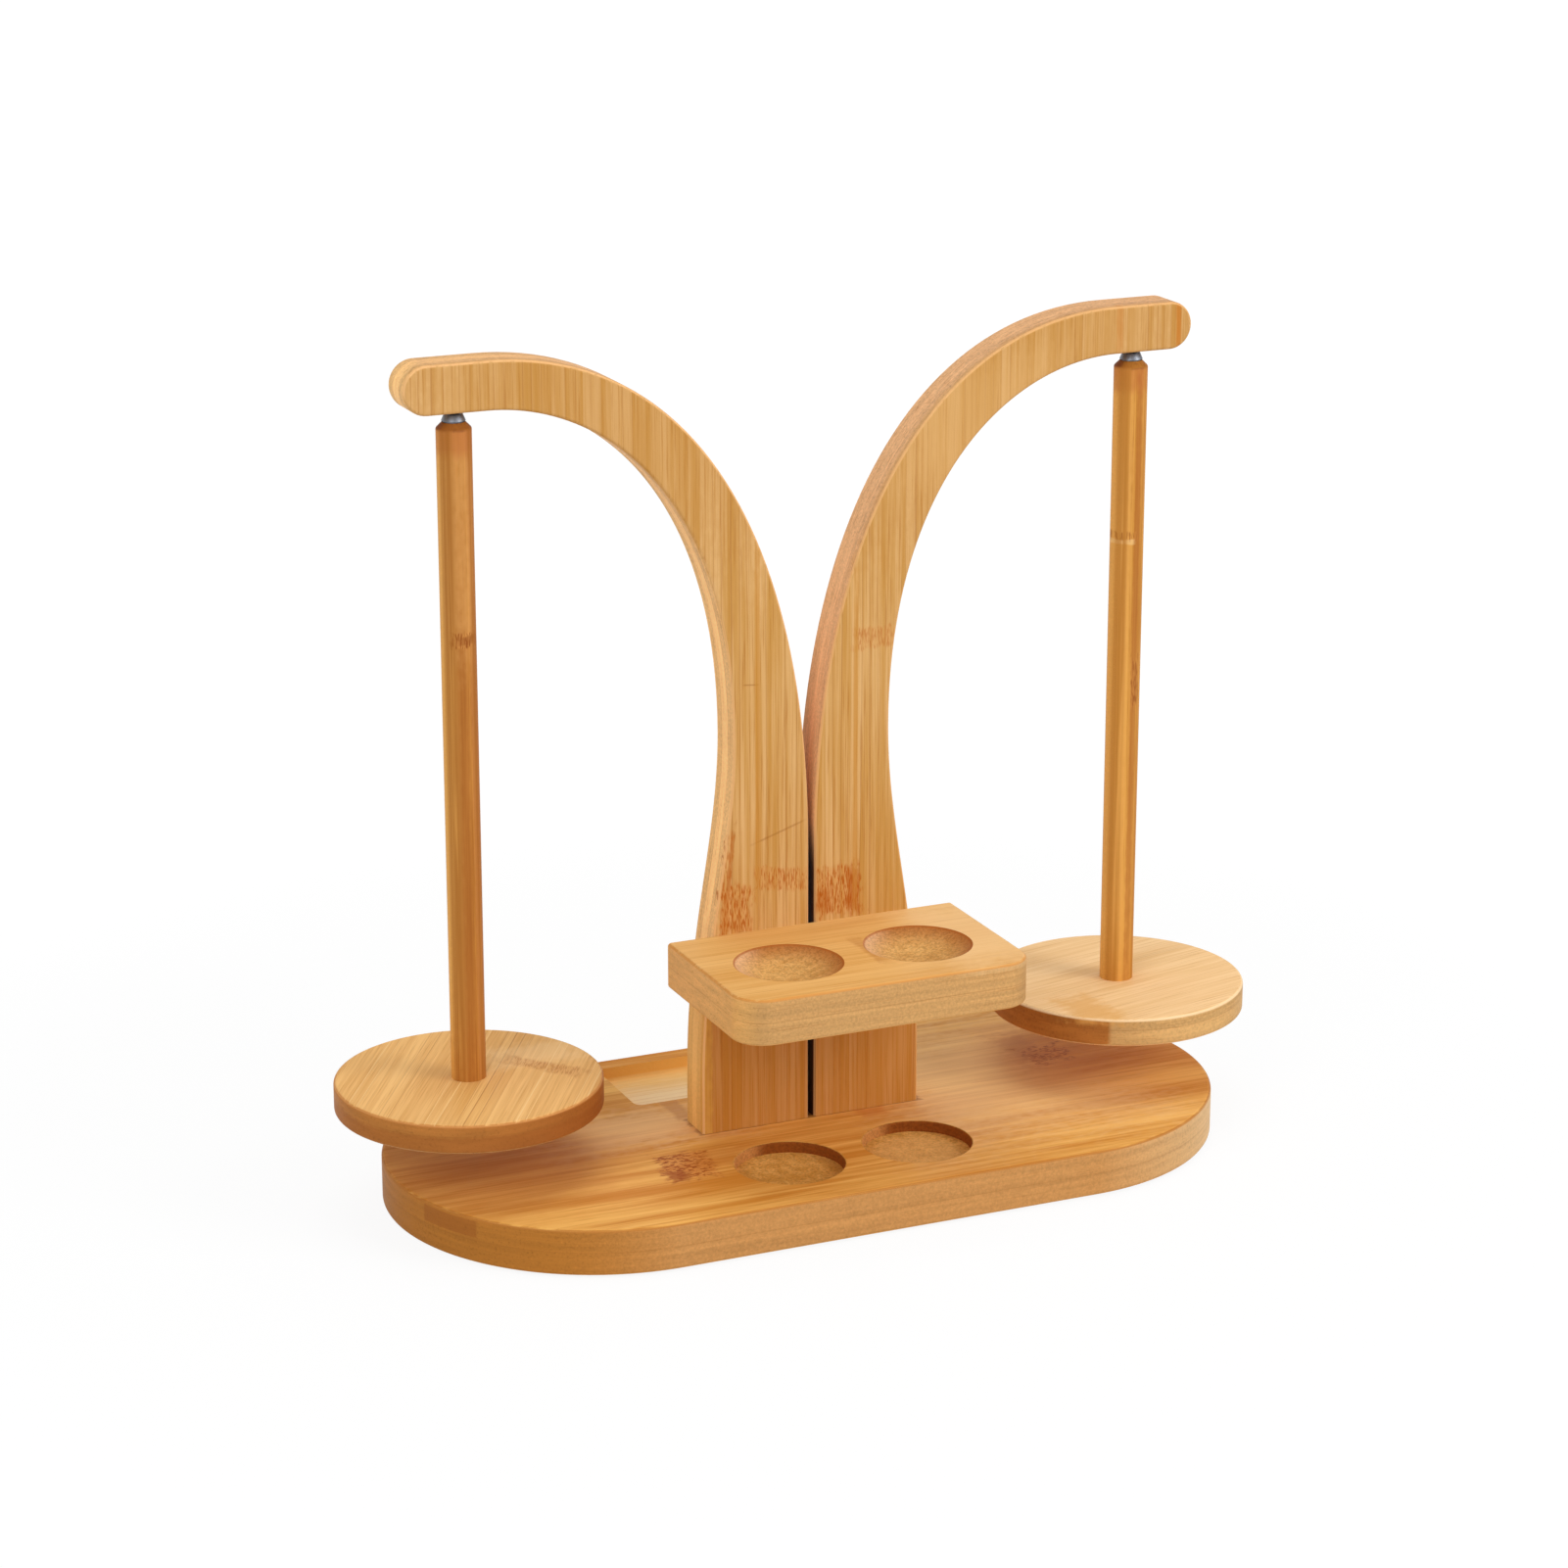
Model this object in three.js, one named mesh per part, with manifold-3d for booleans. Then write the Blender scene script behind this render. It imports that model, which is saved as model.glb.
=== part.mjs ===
// Double yarn ball holder: two bamboo arms carry a magnet each, and from each
// magnet hangs a spindle with a round plate, on which a ball of yarn turns.
// Lengths are in millimetres, +Z is up, +X to the right and +Y to the back.
// The origin lies on the table, under the middle of the base board.

import * as THREE from 'three';
import { mergeVertices, toCreasedNormals } from 'three/addons/utils/BufferGeometryUtils.js';
import Module from 'manifold-3d';

const wasm = await Module();
wasm.setup();

// Fits and edges
const clearance = 0.3;
const edgeRound = 1.2;
const rimBreak = 0.5;

// Base board, a slab with half-round ends
const baseLength = 300;
const baseWidth = 148;
const baseThickness = 16;

// Anti-slip pads under the base
const padRadius = 6;
const padThickness = 1;
const padEndInset = 55;
const padSideInset = 26;

// Round cups and the long tray, sunk into the base
const cupRadius = 18.5;
const cupSpacing = 47.4;
const baseCupDepth = 4.8;
const baseCupY = -41;
const cupFloorFillet = 1;
const trayLength = 103;
const trayWidth = 38;
const trayDepth = 4.9;
const trayCornerRadius = 3;
const trayCentreY = 47;

// The two arms, whose feet stand side by side as one column
const armThickness = 15;
const armCentreY = 1.5;
const seamGap = 2;
const footWidth = 39.5;
const footHeight = 17.3;
const waistWidth = 27.6;
const waistHeight = 138.2;
const seamHeight = 98;
const armHeight = 274.3;
const tipBand = 16.3;
const bendRun = 9;
const tipRun = 11;

// Fullness of the arm's curves: each handle's share of the curve's rise or run
const outerRiseFullness = 0.63;
const outerRunFullness = 0.62;
const innerRiseFullness = 0.71;
const innerRunFullness = 0.47;
const calfLowFullness = 0.44;
const calfHighFullness = 0.32;

// Shelf for notions, fixed to the front of the column
const shelfLength = 106;
const shelfDepth = 65;
const shelfThickness = 16;
const shelfHeight = 55;
const shelfCornerRadius = 11;
const dishCentreDepth = 34;
const dishDepth = 6;

// Spindles: a round plate and a rod that hang from a ball under a magnet
const spindleReach = 122;
const plateRadius = 45;
const plateThickness = 10;
const plateLift = 21.5;
const rodRadius = 5.8;
const rodTopChamfer = 2;
const rodFootChamfer = 0.3;
const rodSocketDepth = 4;
const ballRadius = 2.5;
const socketRimRise = 1.6;
const tipHeadHeight = 2.6;
const tipRimRadius = 3;
const tipFootRadius = 4;
const shankRadius = 3.4;
const shankLength = 10;
const shankChamfer = 0.6;
const magnetRadius = 4;
const magnetThickness = 5;
const magnetChamfer = 0.4;

// Countersunk wood screws
const screwRadius = 2;
const screwHeadRadius = 4;
const screwHeadRim = 0.4;
const screwHeadHeight = 2.6;
const screwPointLength = 5;
const crossLength = 4.2;
const crossWidth = 1;
const crossDepth = 1.6;
const footScrewGrip = 25;
const footScrewInner = 10;
const footScrewOuter = 29;
const shelfScrewGrip = 18;
const shelfScrewInset = 13;
const plateScrewGrip = 18;

// Dowels between the arms and the shelf
const dowelRadius = 3;
const dowelChamfer = 0.8;
const dowelInArm = 10;
const dowelInShelf = 12;
const dowelInset = 28;

// Facets of the round shapes
const boardArcSteps = 16;
const armCurveSteps = 20;
const armTipSteps = 14;
const cornerSteps = 4;
const edgeSteps = 2;
const plateSteps = 52;
const cupSteps = 36;
const dishRings = 5;
const rodSteps = 24;
const fittingSteps = 18;
const screwSteps = 12;
const socketRings = 4;
const ballRings = 10;

// Heights and faces that follow from the sizes above
const baseTop = padThickness + baseThickness;
const armFront = armCentreY - armThickness / 2;
const armBack = armCentreY + armThickness / 2;
const padReachX = baseLength / 2 - padEndInset;
const padReachY = baseWidth / 2 - padSideInset;
const underArm = armHeight - tipBand;
const ballDrop = clearance + ballRadius;
const rodTop = underArm - ballDrop + socketRimRise - tipHeadHeight;
const rodLength = rodTop - plateLift - plateThickness + rodSocketDepth;
const footScrewLength = baseThickness + footScrewGrip;
const shelfScrewLength = armThickness + shelfScrewGrip;
const plateScrewLength = plateThickness + plateScrewGrip;
const fastenerRise = shelfHeight + shelfThickness / 2;
const overcut = 5;

// Materials
const boardBamboo = new THREE.MeshStandardMaterial( { color: 0xd9a45e, roughness: 0.55 } );
const paleBamboo = new THREE.MeshStandardMaterial( { color: 0xdfb277, roughness: 0.6 } );
const rodBamboo = new THREE.MeshStandardMaterial( { color: 0xbc7f42, roughness: 0.5 } );
const polishedSteel = new THREE.MeshStandardMaterial( { color: 0xb9bcc0, roughness: 0.25, metalness: 1 } );
const zincSteel = new THREE.MeshStandardMaterial( { color: 0xa9a79e, roughness: 0.4, metalness: 1 } );
const magnetNickel = new THREE.MeshStandardMaterial( { color: 0x8c8f92, roughness: 0.3, metalness: 1 } );
const beech = new THREE.MeshStandardMaterial( { color: 0xcfa678, roughness: 0.7 } );
const padRubber = new THREE.MeshStandardMaterial( { color: 0x2b2b2b, roughness: 0.9 } );

// Closed three.js geometry to a solid: vertices merged, slivers dropped, faces outwards
function toSolid( geometry ) {

	const bare = geometry.clone();
	bare.deleteAttribute( 'normal' );
	bare.deleteAttribute( 'uv' );
	const merged = mergeVertices( bare, 1e-4 );
	const corners = merged.index.array;
	const position = merged.attributes.position;
	const triangles = [];
	const a = new THREE.Vector3();
	const b = new THREE.Vector3();
	const c = new THREE.Vector3();
	let volume = 0;
	for ( let i = 0; i < corners.length; i += 3 ) {

		const [ p, q, r ] = [ corners[ i ], corners[ i + 1 ], corners[ i + 2 ] ];
		if ( p === q || q === r || r === p ) continue;
		triangles.push( p, q, r );
		a.fromBufferAttribute( position, p );
		b.fromBufferAttribute( position, q );
		c.fromBufferAttribute( position, r );
		volume += a.dot( b.cross( c ) );

	}

	if ( volume < 0 ) triangles.reverse();
	return new wasm.Manifold( new wasm.Mesh( {
		numProp: 3,
		vertProperties: new Float32Array( position.array ),
		triVerts: new Uint32Array( triangles )
	} ) );

}

// Solid to a named mesh with soft shading over its shallow edges
function toMesh( name, solid, material ) {

	const { vertProperties, triVerts } = solid.getMesh();
	const geometry = new THREE.BufferGeometry();
	geometry.setAttribute( 'position', new THREE.BufferAttribute( vertProperties, 3 ) );
	geometry.setIndex( new THREE.BufferAttribute( triVerts, 1 ) );
	const mesh = new THREE.Mesh( toCreasedNormals( geometry, THREE.MathUtils.degToRad( 40 ) ), material );
	mesh.name = name;
	return mesh;

}

function placed( mesh, x, y, z ) {

	mesh.position.set( x, y, z );
	return mesh;

}

// Body of revolution about +Z from [ radius, height ] pairs
function turned( profile, steps ) {

	const points = profile.map( ( [ radius, height ] ) => new THREE.Vector2( radius, height ) );
	return new THREE.LatheGeometry( points, steps ).rotateX( Math.PI / 2 );

}

// Flat board from an outline, its edges rounded over, lying from z = 0 to its thickness
function board( outline, thickness, steps ) {

	return new THREE.ExtrudeGeometry( outline, {
		depth: thickness - 2 * edgeRound,
		bevelThickness: edgeRound,
		bevelSize: edgeRound,
		bevelOffset: - edgeRound,
		bevelSegments: edgeSteps,
		curveSegments: steps
	} ).translate( 0, 0, edgeRound );

}

function box( width, depth, height, x, y, z ) {

	return new THREE.BoxGeometry( width, depth, height ).translate( x, y, z );

}

function cutBy( solid, cutters ) {

	return cutters.reduce( ( rest, cutter ) => rest.subtract( toSolid( cutter ) ), solid );

}

function slotOutline( length, width ) {

	const radius = width / 2;
	const straight = length / 2 - radius;
	const outline = new THREE.Shape();
	outline.absarc( straight, 0, radius, - Math.PI / 2, Math.PI / 2 );
	outline.absarc( - straight, 0, radius, Math.PI / 2, 3 * Math.PI / 2 );
	outline.closePath();
	return outline;

}

function roundedOutline( length, width, radius ) {

	const x = length / 2 - radius;
	const y = width / 2 - radius;
	const outline = new THREE.Shape();
	outline.absarc( x, y, radius, 0, Math.PI / 2 );
	outline.absarc( - x, y, radius, Math.PI / 2, Math.PI );
	outline.absarc( - x, - y, radius, Math.PI, 3 * Math.PI / 2 );
	outline.absarc( x, - y, radius, - Math.PI / 2, 0 );
	outline.closePath();
	return outline;

}

// Wood screw along +Z, its head's face at z = 0
function screwShape( length ) {

	const body = toSolid( turned( [
		[ 0, 0 ],
		[ screwHeadRadius, 0 ],
		[ screwHeadRadius, screwHeadRim ],
		[ screwRadius, screwHeadHeight ],
		[ screwRadius, length - screwPointLength ],
		[ 0, length ]
	], screwSteps ) );
	const depth = 2 * crossDepth;
	return cutBy( body, [
		box( crossLength, crossWidth, depth, 0, 0, 0 ),
		box( crossWidth, crossLength, depth, 0, 0, 0 )
	] );

}

// Countersunk hole for a screw whose head lies one clearance below the face at z = 0
function screwHole( length ) {

	return turned( [
		[ 0, - overcut ],
		[ screwHeadRadius + clearance, - overcut ],
		[ screwHeadRadius + clearance, clearance + screwHeadRim ],
		[ screwRadius + clearance, clearance + screwHeadHeight ],
		[ screwRadius + clearance, length + 2 * clearance ],
		[ 0, length + 2 * clearance ]
	], screwSteps );

}

function screwMesh( name, length ) {

	return toMesh( name, screwShape( length ), zincSteel );

}

// Straight-walled cup with a small fillet round its floor, its mouth at z = 0
function cupCutter( depth ) {

	return turned( [
		[ 0, - depth ],
		[ cupRadius - cupFloorFillet, - depth ],
		[ cupRadius, cupFloorFillet - depth ],
		[ cupRadius, - rimBreak ],
		[ cupRadius + rimBreak, 0 ],
		[ cupRadius + rimBreak, overcut ],
		[ 0, overcut ]
	], cupSteps );

}

// Shallow spherical dish with its mouth at z = 0
function dishCutter() {

	const sphere = ( cupRadius ** 2 + dishDepth ** 2 ) / ( 2 * dishDepth );
	const half = Math.asin( cupRadius / sphere );
	const profile = [];
	for ( let i = 0; i < dishRings; i ++ ) {

		const angle = half * i / dishRings;
		profile.push( [ sphere * Math.sin( angle ), sphere - dishDepth - sphere * Math.cos( angle ) ] );

	}

	profile.push( [ cupRadius, 0 ], [ cupRadius, overcut ], [ 0, overcut ] );
	return turned( profile, cupSteps );

}

// Distances of an arm's two foot screws from the middle plane
function footScrewPlaces() {

	return [ footScrewInner, footScrewOuter ].map( ( inset ) => seamGap / 2 + inset );

}

function makeBase() {

	const slab = toSolid( board( slotOutline( baseLength, baseWidth ), baseThickness, boardArcSteps ) );
	const tray = new THREE.ExtrudeGeometry( roundedOutline( trayLength, trayWidth, trayCornerRadius ), {
		depth: trayDepth + overcut,
		bevelEnabled: false,
		curveSegments: cornerSteps
	} ).translate( 0, trayCentreY, baseThickness - trayDepth );
	const cutters = [ tray ];
	for ( const side of [ - 1, 1 ] ) {

		const cup = cupCutter( baseCupDepth );
		cutters.push( cup.translate( side * cupSpacing / 2, baseCupY, baseThickness ) );
		for ( const place of footScrewPlaces() ) {

			cutters.push( screwHole( footScrewLength ).translate( side * place, armCentreY, 0 ) );

		}

	}

	return placed( toMesh( 'base_board', cutBy( slab, cutters ), boardBamboo ), 0, 0, padThickness );

}

// One arm seen from the front: up the seam, out over the spindle, and back down inside
function armOutline( side ) {

	const seam = seamGap / 2;
	const footEdge = seam + footWidth;
	const waistEdge = seam + waistWidth;
	const bendEnd = spindleReach - bendRun;
	const tipCentre = spindleReach + tipRun;
	const tipRadius = tipBand / 2;
	const outerRise = armHeight - seamHeight;
	const innerRise = underArm - waistHeight;
	const calfRise = waistHeight - footHeight;
	const outline = new THREE.Shape();
	outline.moveTo( side * seam, - overcut );
	outline.lineTo( side * seam, seamHeight );
	outline.bezierCurveTo(
		side * seam, seamHeight + outerRiseFullness * outerRise,
		side * ( bendEnd - outerRunFullness * ( bendEnd - seam ) ), armHeight,
		side * bendEnd, armHeight
	);
	for ( let i = 0; i <= armTipSteps; i ++ ) {

		const angle = Math.PI * i / armTipSteps;
		const x = tipCentre + tipRadius * Math.sin( angle );
		outline.lineTo( side * x, underArm + tipRadius + tipRadius * Math.cos( angle ) );

	}

	outline.lineTo( side * bendEnd, underArm );
	outline.bezierCurveTo(
		side * ( bendEnd - innerRunFullness * ( bendEnd - waistEdge ) ), underArm,
		side * waistEdge, waistHeight + innerRiseFullness * innerRise,
		side * waistEdge, waistHeight
	);
	outline.bezierCurveTo(
		side * waistEdge, waistHeight - calfHighFullness * calfRise,
		side * footEdge, footHeight + calfLowFullness * calfRise,
		side * footEdge, footHeight
	);
	outline.lineTo( side * footEdge, - overcut );
	outline.closePath();
	return outline;

}

function makeArm( side, name ) {

	const upright = board( armOutline( side ), armThickness, armCurveSteps )
		.rotateX( Math.PI / 2 )
		.translate( 0, armThickness / 2, 0 );
	const belowFoot = box(
		2 * ( footWidth + seamGap ), 2 * armThickness, 2 * overcut,
		side * footWidth / 2, 0, - overcut
	);
	const magnetSeat = turned( [
		[ 0, - overcut ],
		[ magnetRadius + clearance, - overcut ],
		[ magnetRadius + clearance, magnetThickness + clearance ],
		[ 0, magnetThickness + clearance ]
	], fittingSteps ).translate( side * spindleReach, 0, underArm );
	const shelfScrewSeat = screwHole( shelfScrewLength )
		.rotateX( Math.PI / 2 )
		.translate( side * ( seamGap / 2 + shelfScrewInset ), armThickness / 2, fastenerRise );
	const dowelSeat = dowelCutter()
		.rotateX( Math.PI / 2 )
		.translate( side * ( seamGap / 2 + dowelInset ), dowelInArm - armThickness / 2, fastenerRise );
	const cutters = [ belowFoot, magnetSeat, shelfScrewSeat, dowelSeat ];
	for ( const place of footScrewPlaces() ) {

		cutters.push( screwHole( footScrewLength ).translate( side * place, 0, - baseThickness ) );

	}

	const solid = cutBy( toSolid( upright ), cutters );
	return placed( toMesh( name, solid, boardBamboo ), 0, armCentreY, baseTop );

}

// Dowel along +Z from z = 0, chamfered at both ends
function makeDowel( name ) {

	const length = dowelInArm + dowelInShelf;
	return toMesh( name, toSolid( turned( [
		[ 0, 0 ],
		[ dowelRadius - dowelChamfer, 0 ],
		[ dowelRadius, dowelChamfer ],
		[ dowelRadius, length - dowelChamfer ],
		[ dowelRadius - dowelChamfer, length ],
		[ 0, length ]
	], fittingSteps ) ), beech );

}

function dowelCutter() {

	return turned( [
		[ 0, - clearance ],
		[ dowelRadius + clearance, - clearance ],
		[ dowelRadius + clearance, dowelInArm + dowelInShelf + clearance ],
		[ 0, dowelInArm + dowelInShelf + clearance ]
	], fittingSteps );

}

// Shelf outline from above: square at the column, round at the two front corners
function shelfOutline() {

	const half = shelfLength / 2;
	const x = half - shelfCornerRadius;
	const y = shelfCornerRadius - shelfDepth;
	const outline = new THREE.Shape();
	outline.moveTo( half, overcut );
	outline.lineTo( - half, overcut );
	outline.absarc( - x, y, shelfCornerRadius, Math.PI, 3 * Math.PI / 2 );
	outline.absarc( x, y, shelfCornerRadius, - Math.PI / 2, 0 );
	outline.closePath();
	return outline;

}

function makeShelf() {

	const slab = toSolid( board( shelfOutline(), shelfThickness, cornerSteps ) );
	const cutters = [ box( 2 * shelfLength, 2 * overcut, 2 * shelfThickness, 0, overcut, shelfThickness / 2 ) ];
	for ( const side of [ - 1, 1 ] ) {

		const screwX = side * ( seamGap / 2 + shelfScrewInset );
		const dowelX = side * ( seamGap / 2 + dowelInset );
		const middle = shelfThickness / 2;
		cutters.push( dishCutter().translate( side * cupSpacing / 2, - dishCentreDepth, shelfThickness ) );
		cutters.push( screwHole( shelfScrewLength ).rotateX( Math.PI / 2 ).translate( screwX, armThickness, middle ) );
		cutters.push( dowelCutter().rotateX( Math.PI / 2 ).translate( dowelX, dowelInArm, middle ) );

	}

	return placed( toMesh( 'notions_shelf', cutBy( slab, cutters ), paleBamboo ), 0, armFront, baseTop + shelfHeight );

}

// Round plate with a countersunk hole from below and a socket for the rod's foot on top
function makePlate( name ) {

	const hole = screwRadius + clearance;
	const sink = screwHeadRadius + clearance;
	const socket = rodRadius + clearance;
	const socketFloor = plateThickness - rodSocketDepth;
	return toMesh( name, toSolid( turned( [
		[ hole, clearance + screwHeadHeight ],
		[ sink, clearance + screwHeadRim ],
		[ sink, 0 ],
		[ plateRadius - edgeRound, 0 ],
		[ plateRadius - edgeRound * ( 1 - Math.SQRT1_2 ), edgeRound * ( 1 - Math.SQRT1_2 ) ],
		[ plateRadius, edgeRound ],
		[ plateRadius, plateThickness - edgeRound ],
		[ plateRadius - edgeRound * ( 1 - Math.SQRT1_2 ), plateThickness - edgeRound * ( 1 - Math.SQRT1_2 ) ],
		[ plateRadius - edgeRound, plateThickness ],
		[ socket, plateThickness ],
		[ socket, socketFloor ],
		[ hole, socketFloor ],
		[ hole, clearance + screwHeadHeight ]
	], plateSteps ) ), boardBamboo );

}

// Rod with a bore for its screw at the foot and one for the steel tip at the top
function makeRod( name ) {

	const screwBore = screwRadius + clearance;
	const tipBore = shankRadius + clearance;
	const screwBoreEnd = rodSocketDepth + plateScrewGrip + 2 * clearance;
	return toMesh( name, toSolid( turned( [
		[ 0, screwBoreEnd ],
		[ screwBore, screwBoreEnd ],
		[ screwBore, 0 ],
		[ rodRadius - rodFootChamfer, 0 ],
		[ rodRadius, rodFootChamfer ],
		[ rodRadius, rodLength - rodTopChamfer ],
		[ rodRadius - rodTopChamfer, rodLength ],
		[ tipBore, rodLength ],
		[ tipBore, rodLength - shankLength - clearance ],
		[ 0, rodLength - shankLength - clearance ]
	], rodSteps ) ), rodBamboo );

}

// Steel tip, its collar's foot at z = 0: a tapered collar that holds the ball in a round socket
function makeTip( name ) {

	const ballCentre = tipHeadHeight - socketRimRise;
	const socket = ballRadius + clearance;
	const mouth = Math.acos( socketRimRise / socket );
	const profile = [];
	for ( let i = 0; i <= socketRings; i ++ ) {

		const angle = Math.PI - ( Math.PI - mouth ) * i / socketRings;
		profile.push( [ socket * Math.sin( angle ), ballCentre + socket * Math.cos( angle ) ] );

	}

	profile[ 0 ][ 0 ] = 0;
	profile.push(
		[ tipRimRadius, tipHeadHeight ],
		[ tipFootRadius, clearance ],
		[ shankRadius, clearance ],
		[ shankRadius, shankChamfer - shankLength ],
		[ shankRadius - shankChamfer, - shankLength ],
		[ 0, - shankLength ]
	);
	return toMesh( name, toSolid( turned( profile, fittingSteps ) ), polishedSteel );

}

function makeBall( name ) {

	return toMesh( name, toSolid( new THREE.SphereGeometry( ballRadius, fittingSteps, ballRings ) ), polishedSteel );

}

function makeMagnet( name ) {

	return toMesh( name, toSolid( turned( [
		[ 0, 0 ],
		[ magnetRadius - magnetChamfer, 0 ],
		[ magnetRadius, magnetChamfer ],
		[ magnetRadius, magnetThickness ],
		[ 0, magnetThickness ]
	], fittingSteps ) ), magnetNickel );

}

function makePad( name ) {

	return toMesh( name, toSolid( turned( [
		[ 0, 0 ],
		[ padRadius, 0 ],
		[ padRadius, padThickness ],
		[ 0, padThickness ]
	], fittingSteps ) ), padRubber );

}

// A spindle in its own group, whose origin is the underside of the plate on the spindle's axis
function makeSpindle( side, name ) {

	const spindle = new THREE.Group();
	const rodFoot = plateThickness - rodSocketDepth;
	const rodEnd = rodFoot + rodLength;
	spindle.add( placed( screwMesh( `${ name }_plate_screw`, plateScrewLength ), 0, 0, clearance ) );
	spindle.add( placed( makePlate( `${ name }_yarn_plate` ), 0, 0, 0 ) );
	spindle.add( placed( makeRod( `${ name }_rod` ), 0, 0, rodFoot ) );
	spindle.add( placed( makeTip( `${ name }_steel_tip` ), 0, 0, rodEnd ) );
	spindle.add( placed( makeBall( `${ name }_bearing_ball` ), 0, 0, rodEnd + tipHeadHeight - socketRimRise ) );
	spindle.position.set( side * spindleReach, armCentreY, baseTop + plateLift );
	return spindle;

}

// What each arm carries besides its spindle: the magnet, its screws and its dowel
function makeArmFittings( side, name ) {

	const fittings = new THREE.Group();
	const fastenerZ = baseTop + fastenerRise;
	const magnet = makeMagnet( `${ name }_magnet` );
	fittings.add( placed( magnet, side * spindleReach, armCentreY, baseTop + underArm ) );
	const footScrewNames = [ 'inner', 'outer' ];
	footScrewPlaces().forEach( ( place, i ) => {

		const footScrew = screwMesh( `${ name }_${ footScrewNames[ i ] }_foot_screw`, footScrewLength );
		fittings.add( placed( footScrew, side * place, armCentreY, padThickness + clearance ) );

	} );
	const shelfScrew = screwMesh( `${ name }_shelf_screw`, shelfScrewLength );
	shelfScrew.rotation.x = Math.PI / 2;
	const shelfScrewX = side * ( seamGap / 2 + shelfScrewInset );
	fittings.add( placed( shelfScrew, shelfScrewX, armBack - clearance, fastenerZ ) );
	const dowel = makeDowel( `${ name }_shelf_dowel` );
	dowel.rotation.x = Math.PI / 2;
	fittings.add( placed( dowel, side * ( seamGap / 2 + dowelInset ), armFront + dowelInArm, fastenerZ ) );
	return fittings;

}

function makePads() {

	const pads = new THREE.Group();
	for ( const [ sideX, nameX ] of [ [ - 1, 'left' ], [ 1, 'right' ] ] ) {

		for ( const [ sideY, nameY ] of [ [ - 1, 'front' ], [ 1, 'rear' ] ] ) {

			pads.add( placed( makePad( `${ nameX }_${ nameY }_pad` ), sideX * padReachX, sideY * padReachY, 0 ) );

		}

	}

	return pads;

}

const holder = new THREE.Group();
holder.add( makeBase() );
holder.add( makeShelf() );
for ( const [ side, name ] of [ [ - 1, 'left' ], [ 1, 'right' ] ] ) {

	holder.add( makeArm( side, `${ name }_arm` ) );
	holder.add( makeArmFittings( side, name ) );
	holder.add( makeSpindle( side, name ) );

}

holder.add( makePads() );

export default holder;
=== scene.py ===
"""Looks for a double yarn ball holder made of bamboo.

Two arms stand side by side on a base board with cups and a tray, and carry a small
shelf on their front. From a magnet in each arm hangs a spindle with a round plate.
Forms are worked out in millimetres and become objects in metres.
"""

from math import asin, acos, cos, pi, radians, sin
from typing import NamedTuple

import bmesh
import bpy
from mathutils import Matrix, Vector


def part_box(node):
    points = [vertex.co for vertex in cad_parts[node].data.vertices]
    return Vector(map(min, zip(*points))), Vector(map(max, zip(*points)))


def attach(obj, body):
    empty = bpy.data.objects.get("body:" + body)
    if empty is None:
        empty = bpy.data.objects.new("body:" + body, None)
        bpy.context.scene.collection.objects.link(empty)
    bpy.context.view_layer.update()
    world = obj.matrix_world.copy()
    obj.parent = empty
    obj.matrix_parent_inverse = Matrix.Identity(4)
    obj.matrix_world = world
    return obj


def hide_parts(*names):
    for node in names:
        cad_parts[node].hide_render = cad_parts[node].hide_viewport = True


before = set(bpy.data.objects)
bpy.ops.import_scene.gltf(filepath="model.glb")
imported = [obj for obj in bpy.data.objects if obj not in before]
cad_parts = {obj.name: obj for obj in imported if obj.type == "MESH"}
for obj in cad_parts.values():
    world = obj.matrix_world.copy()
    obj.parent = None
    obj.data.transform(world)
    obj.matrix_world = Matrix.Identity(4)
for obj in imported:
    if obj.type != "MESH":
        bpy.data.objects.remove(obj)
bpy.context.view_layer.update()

SIDES = {"left": -1, "right": 1}

# Edges and fits, in millimetres
EDGE_ROUND = 1.2
RIM_ROUND = 0.6
SMALL_ROUND = 0.4
CLEARANCE = 0.3
OVERCUT = 5
BED_MARGIN = 0.05

# Base board with its cups and tray
BASE_TOP = 17
BASE_THICKNESS = 16
CUP_RADIUS = 18.5
CUP_SPACING = 47.4
BASE_CUP_DEPTH = 4.8
BASE_CUP_Y = -41
FLOOR_FILLET = 1
TRAY_LENGTH = 103
TRAY_WIDTH = 38
TRAY_DEPTH = 4.9
TRAY_CORNER = 3
TRAY_Y = 47

# Arms, heights measured from the top of the base board
ARM_BACK = 9
ARM_THICKNESS = 15
ARM_FRONT = ARM_BACK - ARM_THICKNESS
SEAM = 1
SEAM_HEIGHT = 98
FOOT_EDGE = 40.5
FOOT_HEIGHT = 17.3
WAIST_EDGE = 28.6
WAIST_HEIGHT = 138.2
ARM_HEIGHT = 274.3
TIP_BAND = 16.3
BEND_END = 113
TIP_CENTRE = 133

# Where the handles of the arm's curves lie
OUTER_HANDLES = ((1, 209.1), (43.6, 274.3))
INNER_HANDLES = ((73.3, 258), (28.6, 223.3))
CALF_HANDLES = ((28.6, 99.5), (40.5, 70.5))

# Shelf
SHELF_HALF = 53
SHELF_DEPTH = 65
SHELF_THICKNESS = 16
SHELF_BOTTOM = 72
SHELF_TOP = SHELF_BOTTOM + SHELF_THICKNESS
SHELF_CORNER = 11
DISH_CENTRE = 34
DISH_DEPTH = 6

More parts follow.
